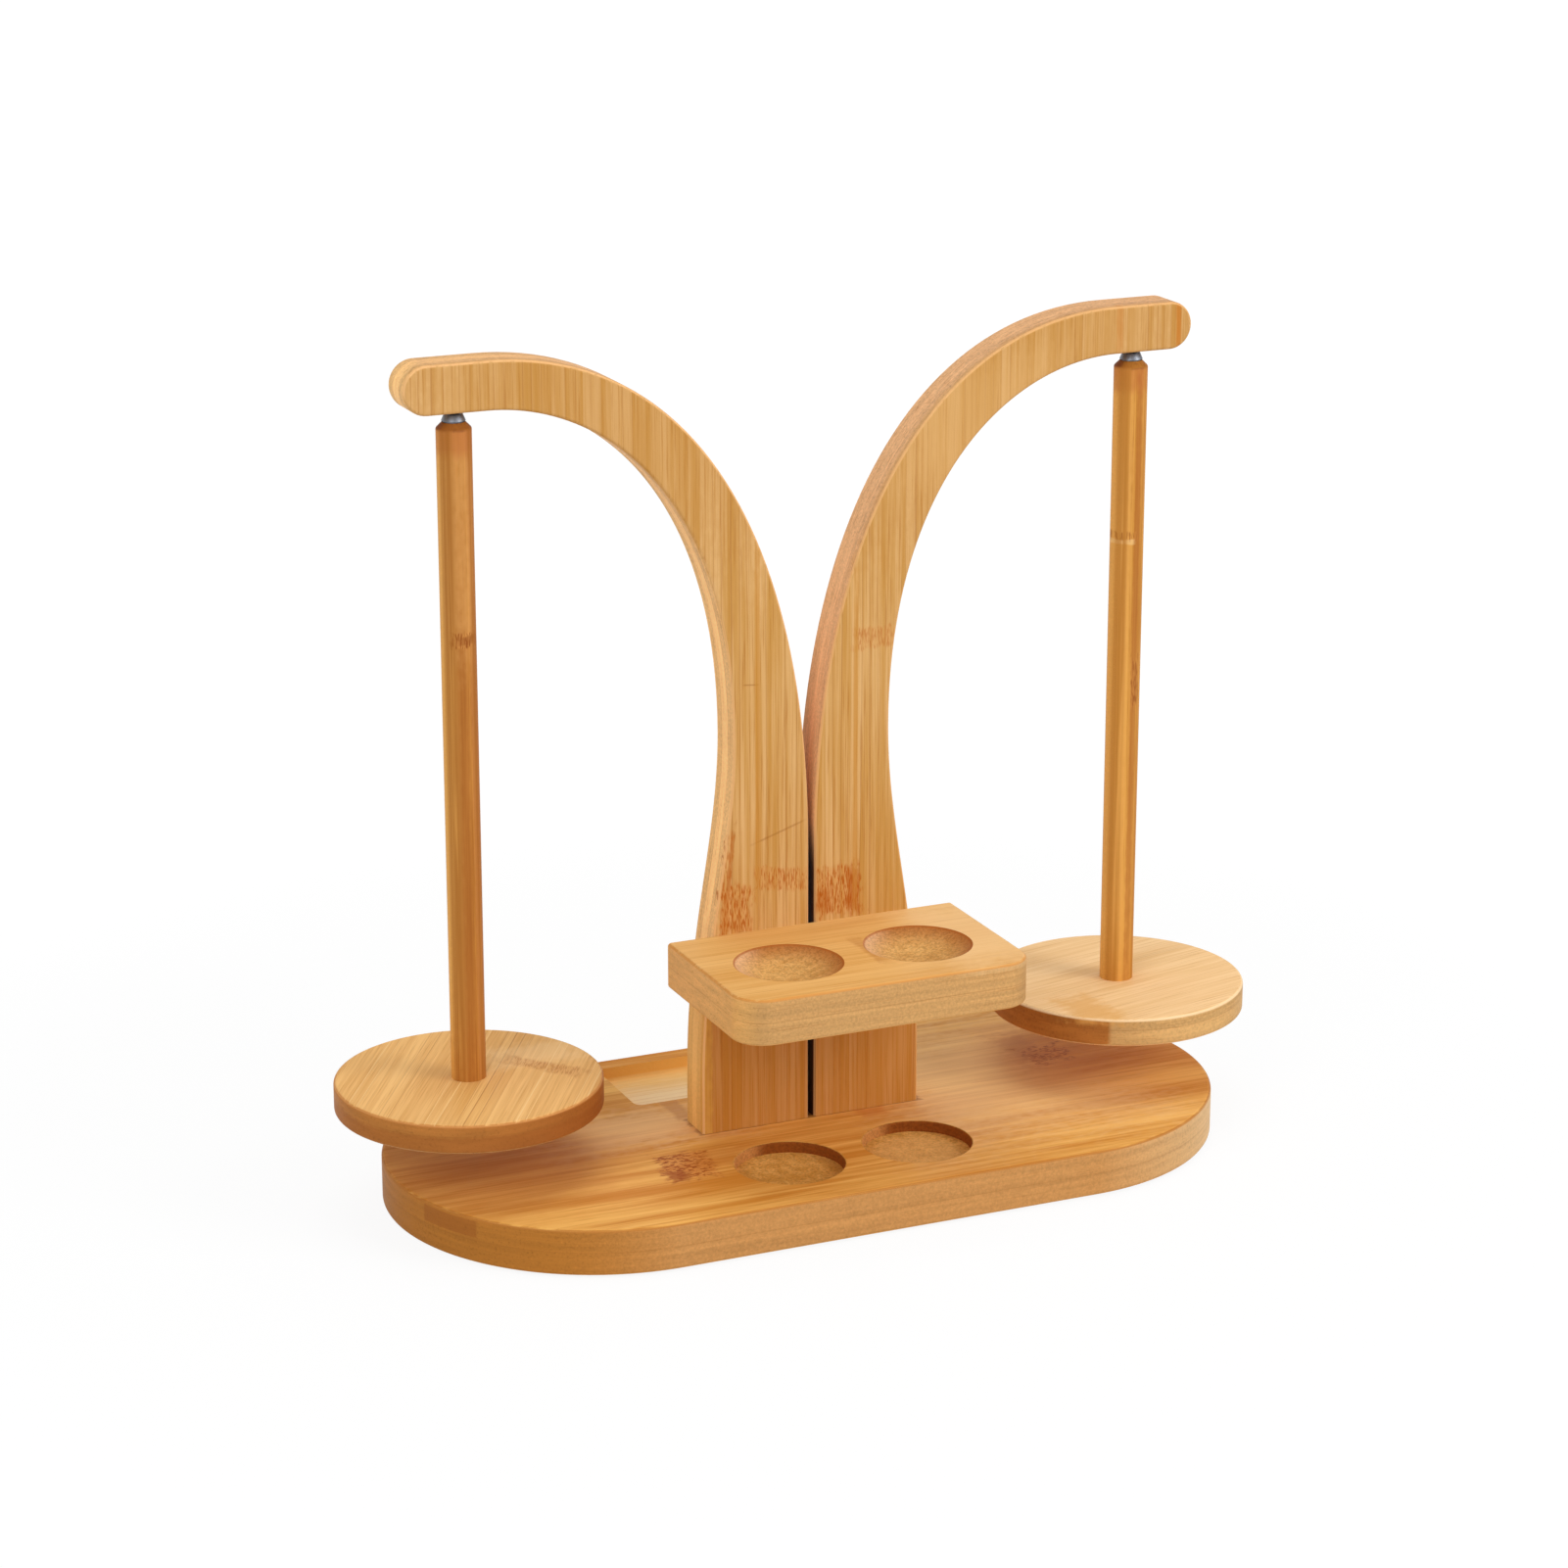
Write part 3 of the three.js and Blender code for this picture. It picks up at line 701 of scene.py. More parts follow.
def bamboo(name, light, dark, axes, strip=4.5, bed=(0.0, 7.5), seed=0.0, turn=0.0, tones=0.4,
           streaks=1.2, coarse=1.0, lines=0.4, pale=0.0, edging=EDGE_TONE_AND_LIGHT, worn=RIM_WEAR_AND_HIGHLIGHT, grit=0.5,
           fibres=0.3, dash=(0.28, 2.3), marks=(), shaded_and_lit_walls=None):
    """Laminated bamboo: strips glued side by side in layers, with fine fibres along them.

    axes names the directions of the grain, the strips and the layers, strip is a strip's
    width, and bed is where the first layer starts and how thick a layer is. tones, streaks,
    lines and fibres say how far strips, streaks, joins and fibres stand out, coarse is the
    streaks' width, pale the share of joins that are lighter than the wood, and grit the depth
    of the pores. edging is the colour of the board's edges where they face left
    and where they face right, and between which normals the one passes into the other; it is
    partly the wood's own tone and partly painted light. worn is the colour of
    the rounded rims that face up or sideways, partly wear and partly a painted highlight.
    dash is how often a dashed mark breaks off along the grain and across it.
    A finish with shaded_and_lit_walls is for hollows, whose surface crosses the fibres: these
    are the walls' painted shade, and the painted light on the walls that face right.
    """
    wood = Finish(name, 0.45)
    place = wood.millimetres()
    facing = wood.node("ShaderNodeTexCoord", {}, "Normal")
    sideways, _, upwards = wood.split(facing).values()
    along = place
    if turn:
        spin = {"Angle": radians(-turn)}
        along = wood.node("ShaderNodeVectorRotate", {"Vector": place, **spin}, rotation_type="Z_AXIS")
        facing = wood.node("ShaderNodeVectorRotate", {"Vector": facing, **spin}, rotation_type="Z_AXIS")
    u, v, t = (wood.split(along)[axis] for axis in axes)
    end_facing, _, face_facing = (wood.math("ABSOLUTE", wood.split(facing)[axis]) for axis in axes)
    flat = 1.0 if shaded_and_lit_walls else wood.step(face_facing, 0.3, 0.7)

    # Strips of uneven width, each layer with its own; on the board's edges they don't show
    start, thick = bed
    whole = thick + BED_MARGIN
    depth = wood.scaled(t, 1 / whole, (BED_MARGIN - start) / whole)
    level = wood.math("FLOOR", depth)
    lane = wood.vector(wood.scaled(u, 0.003, seed), wood.scaled(v, 0.09, seed), wood.scaled(level, 7.3))
    count = wood.math("MULTIPLY_ADD", v, 1 / strip, wood.scaled(wood.noise(lane, 1.0), 1.6))
    index = wood.math("FLOOR", count)
    share = wood.math("SUBTRACT", count, index)
    tone, join, shift = wood.chances(index, level, seed)
    bed_tone, _, _ = wood.chances(0.5, level, seed)
    edge = wood.scaled(wood.math("MINIMUM", share, wood.math("SUBTRACT", 1.0, share)), strip)

    # Fibres, streaks and the broad cloudiness of the board
    length = 0.9 if shaded_and_lit_walls else 0.035
    apart = wood.math("MULTIPLY", wood.scaled(shift, 90.0), flat)
    across = wood.math("MULTIPLY", wood.scaled(v, 1 / coarse), wood.scaled(flat, 0.85, 0.15))
    narrow = wood.math("MULTIPLY_ADD", across, 2.1, apart)
    fine = wood.noise(wood.vector(wood.scaled(u, length), narrow, wood.scaled(t, 2.1)), 3.0, 0.6)
    broad = wood.math("MULTIPLY_ADD", across, 0.55, apart)
    streak = wood.noise(wood.vector(wood.scaled(u, length / 3), broad, wood.scaled(t, 0.55)), 2.0)
    cloud = wood.noise(wood.vector(wood.scaled(u, 0.012), wood.scaled(v, 0.06),
                                   wood.scaled(t, 0.06, seed)), 2.0)
    shade = wood.math("MULTIPLY", wood.scaled(tone, tones, -tones / 2), flat)
    for part, weight in ((streak, streaks), (cloud, 1.0), (fine, 0.8)):
        shade = wood.math("ADD", shade, wood.scaled(part, weight, -weight / 2))
    shade = wood.step(shade, -0.5, 0.5)
    colour = wood.mix(shade, light, dark)

    # Pores where the fibres' ends meet the surface
    pores = wood.noise(wood.toned(place, 1.1), 3.0, 0.65)
    open_grain = 0.8 if shaded_and_lit_walls else wood.step(end_facing, 0.15, 0.75)
    pitted = wood.math("MULTIPLY", open_grain, wood.step(pores, 0.42, 0.62, grit))

    # Edges of the board, each layer with its own tone, coloured by the way they face: partly the wood and
    # partly painted light; the slopes and walls of a hollow, in painted shade that is lit where they face
    # right
    if shaded_and_lit_walls:
        steep = wood.step(face_facing, 0.98, 0.8)
        colour = wood.mix(steep, colour, wood.mix(wood.step(sideways, 0.0, 0.45), *shaded_and_lit_walls))
    else:
        left, right, passing = edging
        side = wood.mix(wood.step(sideways, *passing), left, right)
        rough = wood.math("MULTIPLY", wood.scaled(pores, 1.0, -0.5), wood.scaled(open_grain, 0.9, 0.75))
        rough = wood.math("ADD", rough, wood.scaled(streak, 0.5, 0.74))
        side = wood.toned(side, wood.math("ADD", rough, wood.scaled(bed_tone, 0.26, -0.13)))
        colour = wood.mix(flat, side, colour)

    # Joins between strips on the faces, and between layers on the edges
    colour = wood.mix(wood.step(fine, 0.54, 0.7, fibres), colour, FIBRE)
    glue = wood.math("MULTIPLY", wood.step(edge, 0.35, 0.05), wood.step(join, 0.3, 1.0, lines))
    glue = wood.math("MULTIPLY", glue, flat)
    colour = wood.mix(glue, colour, wood.mix(wood.math("LESS_THAN", shift, pale), GLUE, PALE_GLUE))
    rest = wood.math("SUBTRACT", depth, level)
    bond = wood.scaled(wood.math("MINIMUM", rest, wood.math("SUBTRACT", 1.0, rest)), thick)
    bond = wood.math("MULTIPLY", wood.step(bond, 0.3, 0.0, 0.25), wood.step(flat, 1.0, 0.0))
    colour = wood.mix(bond, colour, GLUE)
    colour = wood.toned(colour, wood.scaled(pitted, -0.45, 1.0))

    # Marks, among them painted light and shade, and the scars of the cane's joints; then the eased edges
    # that face up or sideways, in another tone that is partly wear and partly a painted highlight
    if marks:
        dashes = wood.vector(wood.scaled(u, dash[0]), wood.scaled(v, dash[1]), wood.scaled(t, 0.5))
        dashes = wood.step(wood.noise(dashes, 2.0), 0.47, 0.58)
        ragged = wood.vector(wood.scaled(u, 0.25), wood.scaled(v, 0.5), wood.scaled(t, 0.2))
        ragged = wood.noise(ragged, 2.0)
    for mark in marks:
        offset = wood.node("ShaderNodeVectorMath", {0: place, 1: mark.place}, operation="SUBTRACT")
        offset = wood.node("ShaderNodeVectorRotate", {"Vector": offset, "Angle": radians(-mark.turn)},
                           rotation_type=f"{axes[2]}_AXIS")
        ratio = wood.node("ShaderNodeVectorMath", {0: offset, 1: mark.half}, operation="DIVIDE")
        x, y, z = (wood.math("ABSOLUTE", part) for part in wood.split(ratio).values())
        reach = wood.math("MAXIMUM", wood.math("MAXIMUM", x, y), z)
        reach = wood.math("ADD", reach, wood.scaled(ragged, mark.ragged, -mark.ragged / 2))
        amount = wood.step(reach, 1 + mark.soft, 1 - mark.soft, mark.strength)
        if mark.dashed:
            colour = wood.mix(wood.scaled(amount, 0.35), colour, HAZE)
            amount = wood.math("MULTIPLY", amount, dashes)
        colour = wood.mix(amount, colour, mark.colour)
    if not shaded_and_lit_walls:
        band = wood.math("MULTIPLY", wood.step(face_facing, 0.1, 0.5), wood.step(face_facing, 0.98, 0.8))
        band = wood.math("MULTIPLY", band, wood.step(upwards, -0.3, 0.0))
        colour = wood.mix(wood.math("MULTIPLY", band, wood.step(streak, 0.2, 0.55, 0.8)), colour, worn)

    roughness = wood.scaled(fine, 0.22, 0.52 if shaded_and_lit_walls else 0.38)
    raised = wood.math("ADD", wood.scaled(streak, 0.5), fine)
    height = wood.math("SUBTRACT", raised, wood.math("ADD", glue, pitted))
    return wood.finish(colour, roughness, height, 0.05 if shaded_and_lit_walls else 0.03)


def board(name, light, dark, hollow=None, **look):
    """A board's two finishes: its faces, and the hollows that are cut into it."""
    inside = {**look, "lines": 0.0, "tones": 0.1, "grit": 0.7, "marks": (), **(hollow or HOLLOW)}
    return bamboo(name, light, dark, **look), bamboo(f"{name} cut", **inside)


def metal(name, colour, roughness, grain):
    """Metal with faint marks of handling; grain is the size of its mottling in millimetres."""
    steel = Finish(name, roughness, 1.0)
    place = steel.millimetres()
    fine = steel.node("ShaderNodeVectorMath", {0: place, "Scale": 1 / grain}, operation="SCALE")
    mottle = steel.noise(fine, 3.0, 0.6)
    ring = steel.noise(steel.vector(0.0, 0.0, steel.scaled(steel.split(place)["Z"], 9.0)), 2.0)
    tarnish = steel.step(mottle, 0.5, 0.8, 0.4)
    shade = steel.mix(tarnish, colour, tuple(0.55 * c for c in colour[:3]) + (1.0,))
    matt = steel.math("ADD", steel.scaled(mottle, 0.2, roughness - 0.1), steel.scaled(ring, 0.08))
    return steel.finish(shade, matt, steel.math("ADD", mottle, ring), 0.01)


def rubber(name, colour):
    """Rubber with a fine pebbled skin."""
    pad = Finish(name, 0.85)
    place = pad.millimetres()
    pebble = pad.node("ShaderNodeTexVoronoi", {"Vector": place, "Scale": 1.8})
    dust = pad.noise(place, 3.0)
    shade = pad.mix(pad.step(dust, 0.45, 0.75, 0.35), colour, srgb(96, 92, 86))
    return pad.finish(shade, pad.scaled(dust, 0.2, 0.72), pebble, 0.06)


BASE_LOW, BASE_HIGH = (1000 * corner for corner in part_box("base_board"))
BASE_LENGTH = BASE_HIGH.x - BASE_LOW.x
BASE_WIDTH = BASE_HIGH.y - BASE_LOW.y

# Finish of hollows; its walls are painted shade, lit where they face right
HOLLOW = {"light": srgb(212, 156, 90), "dark": srgb(182, 122, 62), "shaded_and_lit_walls": (DARK_WOOD_AND_SHADE, SMUDGE)}

# Height of the marks on the floors of the cups and the tray
HOLLOW_FLOOR = 12

# Looks of the pieces
BASE_LOOK = {
    "light": srgb(239, 183, 98), "dark": srgb(202, 130, 48), "axes": "XYZ", "strip": 14,
    "bed": (PAD_THICKNESS, 8),
    "seed": 3.1, "tones": 0.2, "streaks": 1.5, "coarse": 2.3, "lines": 0.15, "fibres": 0.18,
    "grit": 0.45, "dash": (0.55, 1.5), "worn": srgb(176, 110, 48),
    # Edges from dark end grain at the left end to a pale right end that is partly a painted sheen
    "edging": (srgb(176, 114, 46), srgb(226, 188, 136), (-0.6, 1.3)),
    "marks": (
        # The scar of a cane's joint, left of the cups
        Mark((-56.5, -29.5, BASE_TOP), (8, 10, 2), srgb(204, 124, 52), 0.5, turn=-8, ragged=1.2,
             soft=0.3),
        Mark((-56.5, -29.5, BASE_TOP), (9, 11, 2), srgb(150, 72, 20), 1.0, turn=-8, ragged=1.2,
             dashed=True),
        Mark((-62.5, -36.5, BASE_TOP), (3.5, 4.5, 2), srgb(150, 70, 22), 0.7, ragged=1.8, soft=0.4),
        Mark((-42, -27, BASE_TOP), (13, 8, 2), srgb(196, 118, 46), 0.5, ragged=1.4, soft=0.5),
        # Broad areas: painted sheen right of the arms and beside the left plate, then painted shadow under
        # the right plate and under the left plate
        Mark((70, 6, BASE_TOP), (42, 50, 2), srgb(242, 204, 150), 0.5, soft=0.6),
        Mark((-60, 8, BASE_TOP), (28, 15, 2), srgb(240, 196, 142), 0.55, ragged=1.4, soft=0.6),
        Mark((124, 18, BASE_TOP), (30, 24, 2), srgb(206, 128, 52), 0.4, soft=0.6),
        Mark((-114, -10, BASE_TOP), (34, 34, 2), srgb(206, 132, 56), 0.35, soft=0.6),
        # A faint scar under the right plate
        Mark((96, 24, BASE_TOP), (6, 16, 2), srgb(178, 108, 58), 0.3, ragged=1.8, soft=0.5),
        Mark((102, 16, BASE_TOP), (8, 8, 2), srgb(160, 88, 42), 0.7, ragged=1.6, dashed=True),
        # The dark line round the arms' feet, with a stain before it and painted shade behind the left
        # arm's foot
        Mark((0, SPINDLE_Y, BASE_TOP), (41.2, 8.1, 1), srgb(126, 66, 24), 0.6, ragged=0.14, soft=0.03),
        Mark((21, -10, BASE_TOP), (5, 3.5, 2), srgb(200, 120, 50), 0.6, ragged=1.8, soft=0.5),
        Mark((-40, 18.5, BASE_TOP), (3, 8.5, 2), SMUDGE, 0.5, soft=0.4),
        # The darker end of a strip in the board's edge
        Mark((-142.3, -33, 12.9), (12, 8, 2.9), DARK_WOOD_AND_SHADE, 0.5, turn=-61, ragged=0.15, soft=0.05),
    ),
    "hollow": {
        "light": srgb(230, 174, 94), "dark": srgb(200, 142, 64), "dash": (0.02, 0.8),
        # Painted shade on the walls, lit where they face right
        "shaded_and_lit_walls": (srgb(144, 76, 26), srgb(208, 142, 78)),
        "marks": (
            # The tray's walls and floor, with a painted sheen on the floor's left part, then the right
            # cup's floor
            Mark((0, TRAY_Y, 15), (53, 20, 4), srgb(250, 192, 102), 0.85, ragged=0.0, soft=0.02),
            Mark((0, TRAY_Y, HOLLOW_FLOOR), (50, 18, 1), srgb(252, 218, 156), 0.6, ragged=0.1),
            Mark((-36, 42, HOLLOW_FLOOR), (22, 14, 1), srgb(255, 234, 196), 0.65, ragged=1.2, soft=0.6),
            Mark((0, TRAY_Y, HOLLOW_FLOOR), (50, 18, 1), srgb(212, 158, 92), 0.3, ragged=0.1, dashed=True),
            Mark((0, 58, HOLLOW_FLOOR), (52, 9, 1), srgb(236, 184, 104), 0.4, ragged=0.8, soft=0.6),
            Mark((CUP_SPACING / 2, BASE_CUP_Y, HOLLOW_FLOOR), (19, 19, 1), srgb(240, 190, 124), 0.3,
                 ragged=0.4),
        ),
    },
}
SHELF_LOOK = {
    "light": srgb(232, 182, 112), "dark": srgb(214, 156, 82), "axes": "XYZ", "strip": 18,
    "bed": (SHELF_BOTTOM, 8),
    "seed": 5.7, "tones": 0.1, "streaks": 1.2, "lines": 0.1, "worn": srgb(208, 138, 66), "grit": 0.7,
    "edging": (srgb(236, 180, 108), srgb(200, 153, 96), (-0.9, -0.3)),
    "marks": (
        Mark((6, -39.5, SHELF_TOP), (2, 11.5, 2), SMUDGE, 0.45, soft=0.5),
        Mark((44, -36, SHELF_TOP), (16, 34, 2), srgb(244, 204, 148), 0.5, soft=0.6),
    ),
    "hollow": {
        "light": srgb(228, 178, 108), "dark": srgb(198, 144, 76),
        # Painted shade on the dishes' walls, lit where they face right
        "shaded_and_lit_walls": (srgb(176, 108, 52), srgb(232, 182, 136)),
        "marks": (
            # A dark band painted at the dishes' rims, painted shade
            Mark((0, -40, SHELF_TOP), (60, 30, 0.45), srgb(168, 92, 36), 0.7, ragged=0.0, soft=0.4),
        ),
    },
}
# Painted shade in the seam between the arms, the painted shadow of the shelf on the arms under it, and the
# arms' darker tone at the top
SEAM_SHADE_MARK = Mark((0, SPINDLE_Y, 60), (1.5, 12, 56), SEAM_PAINTED_SHADE, 0.95, ragged=0.0)
PAINTED_SHELF_SHADOW = Mark((0, ARM_FRONT, 44), (46, 2.5, 30), srgb(192, 112, 24), 0.5, ragged=0.0, soft=0.08)
ARM_END = Mark((0, ARM_FRONT, 290), (160, 2.5, 70), srgb(190, 134, 66), 0.4, soft=0.4)
ARM_WOOD = {
    "light": srgb(220, 175, 116), "dark": srgb(195, 142, 70), "axes": "ZXY", "strip": 3.4,
    "bed": (ARM_FRONT, 5), "tones": 0.4, "streaks": 1.4, "lines": 0.5, "grit": 0.35, "fibres": 0.5,
}
# The arms' edges are lighter where they face left, and their upper rims are paler: partly the wood and
# partly painted light
ARM_LOOKS = {
    "left": {
        "edging": (srgb(252, 200, 132), srgb(216, 160, 104), (-0.8, 0.8)),
        "worn": srgb(244, 190, 130),
        "marks": (
            PAINTED_SHELF_SHADOW,
            ARM_END,
            # Scars above the shelf, then a golden foot, short cracks and a join
            Mark((-30.8, ARM_FRONT, 106.5), (0.7, 2.5, 19), SMUDGE, 0.7, turn=6.5),
            Mark((-28.3, ARM_FRONT, 96), (5.6, 2.5, 8.5), SCAR, 0.85, ragged=1.4, dashed=True),
            Mark((-31.4, ARM_FRONT, 106), (1.6, 2.5, 16), SCAR, 0.6, turn=4, ragged=1.4, dashed=True),
            Mark((-12, ARM_FRONT, 105.5), (8.8, 2.5, 3.6), SCAR, 0.7, turn=8, ragged=1.4, dashed=True),
            Mark((-40, 1.5, 42), (3, 8, 30), srgb(226, 172, 76), 0.5, ragged=0.4),
            Mark((-22.2, ARM_FRONT, 174.5), (2.8, 2.5, 0.25), GLUE, 0.5, turn=5, ragged=0.3),
            Mark((-12.4, ARM_FRONT, 121.8), (9.5, 2.5, 0.35), GLUE, 0.4, turn=-17.9, ragged=0.6),
            Mark((-20, ARM_FRONT, 160), (0.9, 2.5, 65), LINE, 0.7, ragged=0.4, soft=0.5),
            SEAM_SHADE_MARK,
        ),
    },
    "right": {
        "edging": (srgb(238, 184, 132), srgb(216, 160, 104), (-0.8, 0.8)),
        "worn": srgb(236, 182, 122),
        "marks": (
            PAINTED_SHELF_SHADOW,
            ARM_END,
            # Scars above the shelf, lines near the tip, a pale bend, a scar and a join
            Mark((9.5, ARM_FRONT, 98.5), (8, 2.5, 8.5), SCAR, 0.9, ragged=1.4, dashed=True),
            Mark((15.2, ARM_FRONT, 98), (2.2, 2.5, 8), SCAR, 0.7, ragged=1.2, soft=0.4),
            Mark((4, ARM_FRONT, 95), (3, 2.5, 4), SCAR, 0.5, ragged=1.6, soft=0.5),
            Mark((136, ARM_FRONT, 284), (0.9, 2.5, 9), srgb(196, 118, 40), 0.7, ragged=0.5, soft=0.4),
            Mark((113.5, ARM_FRONT, 285), (1.2, 2.5, 9), srgb(196, 124, 48), 0.5, ragged=0.8, soft=0.5),
            Mark((62, ARM_FRONT, 258), (30, 2.5, 20), srgb(244, 198, 134), 0.2, ragged=0.8, soft=0.6),
            Mark((23, ARM_FRONT, 186), (7.5, 2.5, 3.6), SCAR, 0.5, dashed=True),
            Mark((16, ARM_FRONT, 150), (0.8, 2.5, 60), LINE, 0.7, ragged=0.4, soft=0.5),
            SEAM_SHADE_MARK,
        ),
    },
}
PLATE_LOOKS = {
    "left": {
        "light": srgb(240, 190, 120), "dark": srgb(216, 160, 90), "turn": 58, "strip": 3.2, "lines": 0.6,
        "pale": 0.6,
        "edging": (srgb(180, 116, 54), srgb(160, 94, 40), (-0.8, 0.8)),
        "worn": srgb(196, 126, 66),
        "marks": (
            # A patch of painted light on the top, to the right of the rod
            Mark((-95, 12, PLATE_TOP), (16, 9, 2), srgb(252, 214, 158), 0.4, ragged=1.2, soft=0.6),
            Mark((-96, 0.2, PLATE_TOP), (13.2, 3.2, 2), SMUDGE, 0.2, turn=-50.7, ragged=1.4, soft=0.5),
            Mark((-96, 0.2, PLATE_TOP), (13.2, 3.4, 2), SMUDGE, 0.55, turn=-50.7, ragged=1.7, soft=0.5,
                 dashed=True),
            Mark((-122, 1.5, 41), (60, 60, 3.2), srgb(150, 82, 34), 0.4, ragged=0.6, soft=0.2),
        ),
    },
    # The right plate's paler colours and rims are partly its own wood and partly a painted sheen
    "right": {
        "light": srgb(250, 210, 156), "dark": srgb(234, 188, 128), "turn": 12, "strip": 16, "lines": 0.15,
        "tones": 0.2, "edging": (srgb(184, 116, 54), srgb(212, 166, 106), (-0.53, -0.49)),
        "worn": srgb(250, 216, 170),
        "marks": (Mark((97, -25, PLATE_TOP), (7, 12, 2), srgb(226, 166, 88), 0.7, ragged=1.8, soft=0.6),),
    },
}
# The rods' reddish heads and darker chamfers
ROD_HEAD = {
    side: (
        Mark((side * REACH, SPINDLE_Y, 266.5), (8, 8, 5), srgb(184, 104, 54), 0.6, ragged=0.8, soft=0.6),
        Mark((side * REACH, SPINDLE_Y, ROD_TOP), (8, 8, 2.2), srgb(112, 58, 28), 0.8, ragged=0.4,
             soft=0.3),
    ) for side in SIDES.values()
}
ROD_LOOKS = {
    "left": {
        "light": srgb(210, 144, 68), "dark": srgb(164, 100, 38),
        "marks": (
            # Painted light and shade along the rod: a lit stripe at its left, a shaded one at its front
            # and a paler one at its right front; then a paler upper half, the head and the scar of a joint
            Mark((-127, 0, 160), (2.6, 5, 120), srgb(244, 184, 98), 0.55, ragged=0.6, soft=0.4),
            Mark((-123, -4.1, 160), (1.9, 1.5, 120), srgb(164, 98, 42), 0.6, ragged=0.8, soft=0.5),
            Mark((-118, -2.5, 160), (2, 2.5, 120), srgb(206, 138, 80), 0.5, ragged=0.6, soft=0.4),
            Mark((-122, 1.5, 234), (8, 8, 34), srgb(230, 172, 100), 0.45, soft=0.6),
            *ROD_HEAD[-1],
            Mark((-120.5, -3, 200.2), (5, 5, 2.6), DARK_WOOD_AND_SHADE, 1.0, ragged=0.8, dashed=True),
            Mark((-120.5, -3, 200.2), (3.4, 4, 1.4), DARK_WOOD_AND_SHADE, 0.6, ragged=1.4, soft=0.5),
        ),
    },
    "right": {
        "light": srgb(226, 164, 80), "dark": srgb(186, 122, 48),
        "marks": (
            # Painted light and shade along the rod, a lit stripe at its left and a shaded one at its
            # front; then the head, the scar of a joint and a knot below it
            Mark((117.4, 0, 160), (3, 5, 120), srgb(238, 176, 94), 0.5, ragged=0.6, soft=0.4),
            Mark((122.9, -4.2, 160), (1.2, 1.6, 120), srgb(168, 98, 42), 0.6, ragged=0.8, soft=0.5),
            *ROD_HEAD[1],
            Mark((118.5, -2, 210.5), (4, 5, 1.6), DARK_WOOD_AND_SHADE, 0.7, ragged=1.2, soft=0.3, dashed=True),
            Mark((118.5, -2, 208.6), (3, 5, 0.8), srgb(246, 206, 140), 0.5, ragged=1.2, soft=0.4),
            Mark((123.6, -4, 158), (1.6, 3, 9), DARK_WOOD_AND_SHADE, 0.8, ragged=1.2, dashed=True),
            Mark((124, -4, 158), (0.7, 3, 7), DARK_WOOD_AND_SHADE, 0.4, ragged=1.2),
        ),
    },
}

make_base(board("bamboo base", **BASE_LOOK))
make_shelf(board("bamboo shelf", **SHELF_LOOK))
for name, side in SIDES.items():
    make_arm(name, side, board(f"bamboo {name} arm", seed=11.0 + side, **ARM_WOOD, **ARM_LOOKS[name]))
    make_plate(name, side, board(f"bamboo {name} plate", axes="XYZ", bed=(PLATE_BOTTOM, 6),
                                 seed=17.0 + side, **PLATE_LOOKS[name]))
    look = ROD_LOOKS[name]
    make_rod(name, side, board(f"bamboo {name} rod", axes="ZXY", strip=3.2, bed=(-5, 3.2),
                               seed=23.0 + side, tones=0.15, worn=look["dark"],
                               edging=(look["light"], look["light"], (-0.8, 0.8)), **look))
polished = metal("polished steel", srgb(126, 130, 138), roughness=0.42, grain=2.0)
# The ball's steel is painted dark: painted shade under the arm
shaded_ball_steel = metal("ball steel", srgb(60, 60, 64), roughness=0.38, grain=2.0)
nickel = metal("magnet nickel", srgb(176, 178, 182), roughness=0.3, grain=1.2)
zinc = metal("zinc plated steel", srgb(190, 186, 172), roughness=0.42, grain=0.8)
for name, side in SIDES.items():
    make_tip(name, side, [polished])
    make_ball(name, side, [shaded_ball_steel])
    make_magnet(name, side, [nickel])
    make_screws(name, side, [zinc, zinc])
black = rubber("pad rubber", srgb(44, 43, 42))
for name_x, side_x in SIDES.items():
    for name_y, side_y in (("front", -1), ("rear", 1)):
        make_pad(f"{name_x}_{name_y}_pad", side_x, side_y, [black])
beech = bamboo("beech dowel", srgb(222, 184, 140), srgb(196, 150, 104), axes="YXZ", strip=20,
               bed=(FASTENER_Z - 20, 20), lines=0.0)
for name in SIDES:
    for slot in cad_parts[f"{name}_shelf_dowel"].material_slots:
        slot.material = beech


# Floor, lights and camera

